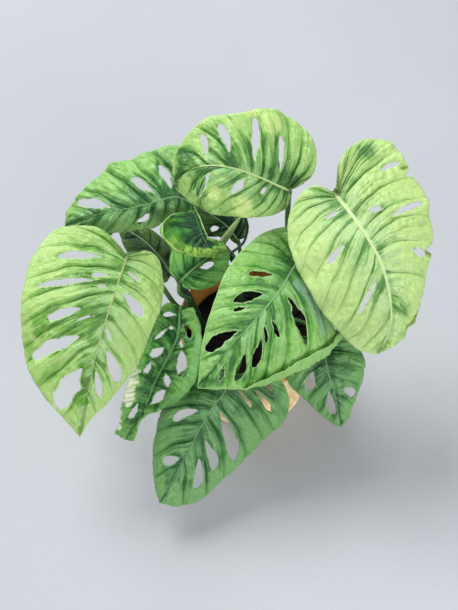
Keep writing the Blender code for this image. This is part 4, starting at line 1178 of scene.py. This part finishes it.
def mark_shades(blade, vert, layers):
    """Write on a vertex how much of a spot covers it, and how much paler its patches make it."""
    for along, out, radius in blade.leaf.spots:
        away = blade.away(vert.co, along, out) + 0.3 * radius * noise.noise(vert.co * 0.3)
        vert[layers["spot"]] = max(vert[layers["spot"]], ease(radius - away, 0.0, 0.4 * radius))
    for along, out, radius, paler in blade.leaf.patches:
        away = blade.away(vert.co, along, out)
        vert[layers["shade"]] += paler * ease(radius - away, 0.0, radius)


def make_leaf(leaf, settings, materials):
    """One leaf: the grid put in space, quilted, given its thickness and joined to its stalk."""
    blade = Blade(leaf)
    bm, layers = blade_grid(blade)
    cut_holes(bm, blade, layers)
    heights = {}
    for vert in bm.verts:
        vert[layers["girth"]] = 1 - RIB_TAPER * clamped(vert.co.x / blade.length)
        vert[layers["rib"]] = abs(vert.co.y) / (leaf.rib * vert[layers["girth"]])
        mark_shades(blade, vert, layers)
        raised = leaf.ridge * vert[layers["spot"]]
        heights[vert] = relief(blade, settings, vert, layers) + raised
    for vert in bm.verts:
        over = vert[layers["over"]]
        if over:
            vert.co = blade.curled(int(over) - 1, vert[layers["part"]], vert[layers["out"]])
        else:
            vert.co = blade.point(vert.co.x, vert.co.y)
    bmesh.ops.remove_doubles(bm, verts=bm.verts, dist=0.02)
    bm.normal_update()
    if sum(face.normal.dot(Vector(leaf.face)) for face in bm.faces) < 0:
        bmesh.ops.reverse_faces(bm, faces=bm.faces)
        bm.normal_update()
    normals = {vert: vert.normal.copy() for vert in bm.verts}
    for vert, normal in normals.items():
        vert.co += normal * heights.get(vert, 0.0)
    bm.normal_update()
    give_thickness(bm, settings, layers)
    add_stalk(bm, leaf, blade)
    piece(leaf.name.removeprefix("leaf_") + "_leaf", bm, materials, leaf.slot, leaf.name)


def give_thickness(bm, settings, layers):
    """Close the sheet into a blade with its midrib and side veins standing out underneath."""
    number = bm.verts.layers.int.new("number")
    sheet = []
    for vert in bm.verts:
        vert[number] = len(sheet)
        sheet.append((vert.co.copy(), vert.normal.copy()))
    made = bmesh.ops.extrude_face_region(bm, geom=bm.faces[:], use_keep_orig=True)
    thick = settings.thickness / MM
    for vert in made["geom"]:
        if isinstance(vert, bmesh.types.BMVert):
            place, normal = sheet[vert[number]]
            to_vein = to_whole(vert[layers["turn"]]) * vert[layers["spacing"]]
            depth = thick + VEIN_UNDER * bell(to_vein, 0.9) * (1 - ease(vert[layers["out"]], 0.5, 1))
            depth += RIB_UNDER * bell(vert[layers["rib"]], 0.9) * vert[layers["girth"]]
            vert.co = place - normal * depth
            vert[layers["under"]] = 1.0
    bmesh.ops.recalc_face_normals(bm, faces=bm.faces)


def add_stalk(bm, leaf, blade):
    """The leaf's stalk, from just off its stem to a knee inside the foot of the blade."""
    steps = 40
    places, _ = spline(STEMS[leaf.stem], steps + 1)
    k = round(leaf.foot * steps)
    stem_at = places[k]
    stem_run = (places[min(k + 1, steps)] - places[max(k - 1, 0)]).normalized()
    toward = Vector(leaf.petiole[0]) - stem_at
    toward = (toward - toward.dot(stem_run) * stem_run).normalized()
    start = stem_at + toward * (stem_radius(leaf.foot) + STEM_GAP)
    foot = blade.path[0]
    run = blade.along[0]
    up = blade.up[0]
    line = [start, start + toward * PETIOLE_FOOT_RADIUS] + leaf.petiole
    line += [foot - up * (KNEE_DROP + 1.0) - run * 1.5, foot + run * 3 - up * 2.6,
             foot + run * 10 - up * 1.6]
    slim = SLIM_STALK if blade.length < SMALL_LEAF else 1.0

    def radius(part, _):
        wide = PETIOLE_RADIUS + (PETIOLE_FOOT_RADIUS - PETIOLE_RADIUS) * (1 - ease(part, 0.0, 0.2))
        wide += (KNEE_RADIUS - PETIOLE_RADIUS) * bell(part - 0.88, 0.06)
        return slim * wide * (1 - 0.55 * ease(part, 0.90, 1.0))

    rod(bm, line, 60, 16, radius, material_index=1)


# Pieces

class VINE_OT_leaves(bpy.types.Operator):
    """Make the twelve quilted leaves with their stalks"""
    bl_idname = "vine.leaves"
    bl_label = "Leaves"

    def execute(self, context):
        settings = context.scene.vine_leaves
        group = blade_pattern()
        stalk = grain_material("stalk_green", tuple(settings.stalk), (0.05, 0.15, 0.03), 60.0, 500.0,
                               (0.35, 0.5), 0.0002)
        blades = {}
        for leaf in LEAVES:
            if leaf.palette not in blades:
                blades[leaf.palette] = leaf_material(group, leaf.palette)
            make_leaf(leaf, settings, [blades[leaf.palette], stalk])
        return {"FINISHED"}


def stem_girth(part, run):
    """Radius of a stem, a little wider at each joint."""
    joint = (part * run / STEM_JOINTS) % 1.0
    return stem_radius(part) * (0.94 + 0.10 * bell(to_whole(joint), 0.07))


def spike_girth(part, _):
    return 0.5 + 2.5 * math.sin(math.pi * (0.28 + 0.70 * part))


def root_girth(part, _):
    return 1.25 - 0.4 * part


class VINE_OT_stems(bpy.types.Operator):
    """Make the four stems, the rolled new leaf and the aerial root"""
    bl_idname = "vine.stems"
    bl_label = "Stems"

    def execute(self, context):
        settings = context.scene.vine_stems
        green = grain_material("stem_green", tuple(settings.green), (0.018, 0.07, 0.02), 70.0, 600.0,
                               (0.32, 0.5), 0.0002)
        young = grain_material("spike_cream", tuple(settings.young), (0.30, 0.44, 0.12), 90.0, 500.0,
                               (0.35, 0.5), 0.0001)
        for name, line in STEMS.items():
            bm = bmesh.new()
            rod(bm, line, 90, 28, stem_girth)
            if name == "stem_back":
                rod(bm, SPIKE, 50, 20, spike_girth, material_index=1)
                rod(bm, AERIAL_ROOT, 50, 12, root_girth)
            piece(name.removeprefix("stem_") + "_stem", bm, [green, young], "stem", name)
        return {"FINISHED"}


class VINE_OT_pot(bpy.types.Operator):
    """Make the nursery pot with its rolled lip"""
    bl_idname = "vine.pot"
    bl_label = "Pot"

    def execute(self, context):
        settings = context.scene.vine_pot
        amber = grain_material("amber_plastic", tuple(settings.amber), (0.45, 0.17, 0.03), 22.0, 260.0,
                               (0.30, 0.46), 0.0001)
        rows = 12
        rim = RIM_RADIUS
        lip_foot = POT_TOP - LIP_HEIGHT
        outer_foot = (POT_FOOT_RADIUS, POT_FLOOR + 1.2)
        inner_foot = (POT_FOOT_RADIUS - POT_WALL, POT_FLOOR + POT_WALL)
        inner_shoulder = (POT_SHOULDER_RADIUS - POT_WALL + 0.6, lip_foot + 1.5)
        profile = [(0, POT_FLOOR), (POT_FOOT_RADIUS - 1.5, POT_FLOOR), outer_foot]
        profile += straight(outer_foot, (POT_SHOULDER_RADIUS, lip_foot), rows)
        profile += [(rim - 0.5, lip_foot), (rim - 0.1, lip_foot + 0.5), (rim, lip_foot + 1.2),
                    (rim, POT_TOP - 1.0), (rim - 0.2, POT_TOP - 0.35), (rim - 0.65, POT_TOP),
                    (rim - 1.2, POT_TOP - 0.3), (rim - 1.5, POT_TOP - 1.2)]
        profile += [(inner_shoulder[0] + 0.4, inner_shoulder[1] + 0.9), inner_shoulder]
        profile += straight(inner_shoulder, inner_foot, rows) + [(0, inner_foot[1])]
        piece("nursery_pot", turned(profile, 144), [amber], "pot_plastic", "pot")
        return {"FINISHED"}


def cover_material(settings):
    """Brown paper with orange mottles, long fibres and sharp creases, with painted shade along the
    creases.
    """
    mat, tree, shader = new_material("crinkled_paper")
    place = tree.place()
    clouds = tree.noise(place, 32.0, 5.0, 0.65, 1.2)
    fibres = tree.noise(tree.stretched(place, (1.0, 1.0, 6.0)), 160.0, 4.0, 0.7, 0.5)
    creases = tree.cells(place, 120.0)
    shade = tree.blend(tree.ramp(clouds, 0.48, 0.68, 0.0, 0.75), tuple(settings.paper),
                       tuple(settings.stain_and_shade))
    shade = tree.blend(tree.ramp(fibres, 0.48, 0.66, 0.0, 0.5), shade, (0.84, 0.62, 0.34))
    # Painted shade: the crease lines darkened towards the stain colour
    shade = tree.blend(tree.ramp(creases, 0.12, 0.0, 0.0, 0.5), shade, tuple(settings.stain_and_shade))
    height = tree.math("ADD", fibres, tree.ramp(creases, 0.0, 0.3, 0.0, 0.8))
    tree.finish(shader, shade, tree.ramp(clouds, 0.3, 0.7, 0.65, 0.85), height, 0.7, 0.0006)
    return mat


class VINE_OT_cover(bpy.types.Operator):
    """Make the crinkled paper cover round the pot"""
    bl_idname = "vine.cover"
    bl_label = "Paper cover"

    def execute(self, context):
        settings = context.scene.vine_cover
        rows = 80
        profile = [(0, 0), (COVER_FOOT_RADIUS - 8, 0), (COVER_FOOT_RADIUS - 3, 0)]
        for k in range(rows + 1):
            part = k / rows
            radius = COVER_FOOT_RADIUS + (COVER_TOP_RADIUS - COVER_FOOT_RADIUS) * part
            profile.append((radius - COVER_HEM * (1 - ease(part, 0, 0.03)), COVER_TOP * part))
        bm = turned(profile, 300)
        for vert in bm.verts:
            radius = vert.co.xy.length
            if radius < COVER_FOOT_RADIUS - 4:
                continue
            height = vert.co.z / COVER_TOP
            turn = math.atan2(vert.co.y, vert.co.x)
            dent = COVER_DENT * ease(height, 0.0, 0.08) * (1 - height) + COVER_TOP_DENT * height
            spot = Vector((6 * math.cos(turn), 6 * math.sin(turn), 5 * height))
            crease = noise.noise(spot)
            push = crease * (dent if crease < 0 else COVER_BULGE * ease(height, 0.0, 0.1))
            fine = abs(noise.noise(vert.co * 0.11)) + 0.6 * abs(noise.noise(vert.co * 0.27))
            push -= settings.crinkle / MM * fine * ease(height, 0.0, 0.06) * (1 - 0.6 * height)
            vert.co.xy *= (radius + push) / radius
        bmesh.ops.solidify(bm, geom=bm.faces[:], thickness=COVER_WALL)
        piece("crinkled_cover", bm, [cover_material(settings)], "cover_paper", "paper_cover")
        return {"FINISHED"}


def swell(spot):
    """Height of the mix's broad swells at a place, in mm."""
    return SOIL_SWELL * noise.noise(spot * 0.09)


class VINE_OT_soil(bpy.types.Operator):
    """Make the potting mix and the bark chips on it"""
    bl_idname = "vine.soil"
    bl_label = "Soil"

    def execute(self, context):
        settings = context.scene.vine_soil
        peat = grain_material("damp_peat", (0.010, 0.010, 0.008), tuple(settings.peat), 90.0, 900.0,
                              (0.75, 0.95), 0.0006, Specular_IOR_Level=0.15)
        bark = grain_material("bark_chips", tuple(settings.bark), (0.005, 0.005, 0.004), 120.0, 800.0,
                              (0.7, 0.9), 0.0005, Specular_IOR_Level=0.2)
        floor = POT_FLOOR + POT_WALL + SOIL_FLOOR_GAP
        slope = (POT_SHOULDER_RADIUS - POT_FOOT_RADIUS) / (POT_TOP - LIP_HEIGHT - floor)
        foot = POT_FOOT_RADIUS - POT_WALL - SOIL_SIDE_GAP
        top = foot + slope * (SOIL_TOP - floor)
        profile = [(0, floor), (foot, floor), (top, SOIL_TOP - 1)]
        rings = 46
        profile += [(top * (1 - k / rings), SOIL_TOP) for k in range(1, rings + 1)]
        bm = turned(profile, 160)
        for vert in bm.verts:
            if vert.co.z > SOIL_TOP - 0.5:
                vert.co.z += swell(vert.co)
                vert.co.z += 0.8 * noise.noise(vert.co * 0.35) + 0.5 * noise.noise(vert.co * 0.9)
        piece("potting_mix", bm, [peat], "potting_mix", "soil")

        draw = random.Random(SEED)
        bm = bmesh.new()
        for _ in range(settings.chips):
            away = (top - 3) * math.sqrt(draw.random())
            turn = draw.uniform(0, math.tau)
            spot = Vector((away * math.cos(turn), away * math.sin(turn), SOIL_TOP))
            spot.z += swell(spot) + draw.uniform(0.0, 0.7)
            size = draw.uniform(*CHIP_SIZES)
            lean = Matrix.Rotation(draw.uniform(-0.6, 0.6), 4, "X") @ Matrix.Rotation(
                draw.uniform(0, math.tau), 4, "Z")
            shape = Matrix.Diagonal((size * draw.uniform(1.0, 1.8), size, size * 0.5, 1.0))
            made = bmesh.ops.create_icosphere(bm, subdivisions=2, radius=1.0,
                                              matrix=Matrix.Translation(spot) @ lean @ shape)
            for vert in made["verts"]:
                vert.co += (vert.co - spot) * 0.35 * noise.noise(vert.co * 0.8)
        piece("bark_chips", bm, [bark], "potting_mix")
        return {"FINISHED"}


def soft_light(name, spec, power):
    """A round light with its place, aim and width from spec, and its power in watts."""
    place, aim, width = spec
    light = bpy.data.lights.new(name, "AREA")
    light.shape = "DISK"
    light.size = width
    light.energy = power
    lamp = bpy.data.objects.new(name, light)
    lamp.location = place
    lamp.rotation_euler = (Vector(aim) - Vector(place)).to_track_quat("-Z", "Y").to_euler()
    bpy.context.scene.collection.objects.link(lamp)


class VINE_OT_stage(bpy.types.Operator):
    """Make the pale floor, the soft lights and the camera"""
    bl_idname = "vine.stage"
    bl_label = "Stage"

    def execute(self, context):
        settings = context.scene.vine_stage
        bm = bmesh.new()
        bmesh.ops.create_grid(bm, x_segments=4, y_segments=4, size=FLOOR_REACH)
        mesh = bpy.data.meshes.new("floor")
        bm.to_mesh(mesh)
        bm.free()
        mesh.materials.append(grain_material("pale_floor", tuple(settings.floor),
                                             tuple(0.94 * c for c in settings.floor), 3.0, 300.0,
                                             (0.7, 0.85), 0.0001))
        floor = bpy.data.objects.new("floor", mesh)
        context.scene.collection.objects.link(floor)
        soft_light("key", KEY_LIGHT, settings.key)
        soft_light("fill", FILL_LIGHT, settings.fill)

        world = bpy.data.worlds.new("studio")
        context.scene.world = world
        world.use_nodes = True
        sky = world.node_tree.nodes["Background"].inputs
        sky["Color"].default_value = SKY_COLOUR
        sky["Strength"].default_value = settings.sky

        lens = bpy.data.cameras.new("camera")
        lens.lens = settings.lens
        lens.sensor_width = SENSOR_WIDTH
        camera = bpy.data.objects.new("camera", lens)
        camera.location = CAMERA_PLACE
        camera.rotation_euler = [math.radians(angle) for angle in CAMERA_TURN]
        context.scene.collection.objects.link(camera)
        context.scene.camera = camera
        context.scene.view_settings.view_transform = "Standard"
        return {"FINISHED"}


OPERATORS = (VINE_OT_leaves, VINE_OT_stems, VINE_OT_pot, VINE_OT_cover, VINE_OT_soil, VINE_OT_stage)
SETTINGS = {
    "vine_leaves": LeafSettings, "vine_stems": StemSettings, "vine_pot": PotSettings,
    "vine_cover": CoverSettings, "vine_soil": SoilSettings, "vine_stage": StageSettings,
}


class VINE_PT_pieces(bpy.types.Panel):
    """Lists the pieces and their settings"""
    bl_idname = "VINE_PT_pieces"
    bl_label = "Potted vine"
    bl_space_type = "VIEW_3D"
    bl_region_type = "UI"
    bl_category = "Vine"

    def draw(self, context):
        for operator, name in zip(OPERATORS, SETTINGS):
            box = self.layout.box()
            box.operator(operator.bl_idname)
            for key in SETTINGS[name].__annotations__:
                box.prop(getattr(context.scene, name), key)


def register():
    for cls in (*SETTINGS.values(), *OPERATORS, VINE_PT_pieces):
        bpy.utils.register_class(cls)
    for name, cls in SETTINGS.items():
        setattr(bpy.types.Scene, name, bpy.props.PointerProperty(type=cls))


def unregister():
    for name in SETTINGS:
        delattr(bpy.types.Scene, name)
    for cls in reversed((*SETTINGS.values(), *OPERATORS, VINE_PT_pieces)):
        bpy.utils.unregister_class(cls)


def main():
    register()
    bpy.ops.vine.stage()
    bpy.ops.vine.pot()
    bpy.ops.vine.cover()
    bpy.ops.vine.soil()
    bpy.ops.vine.stems()
    bpy.ops.vine.leaves()


if __name__ == "__main__":
    main()
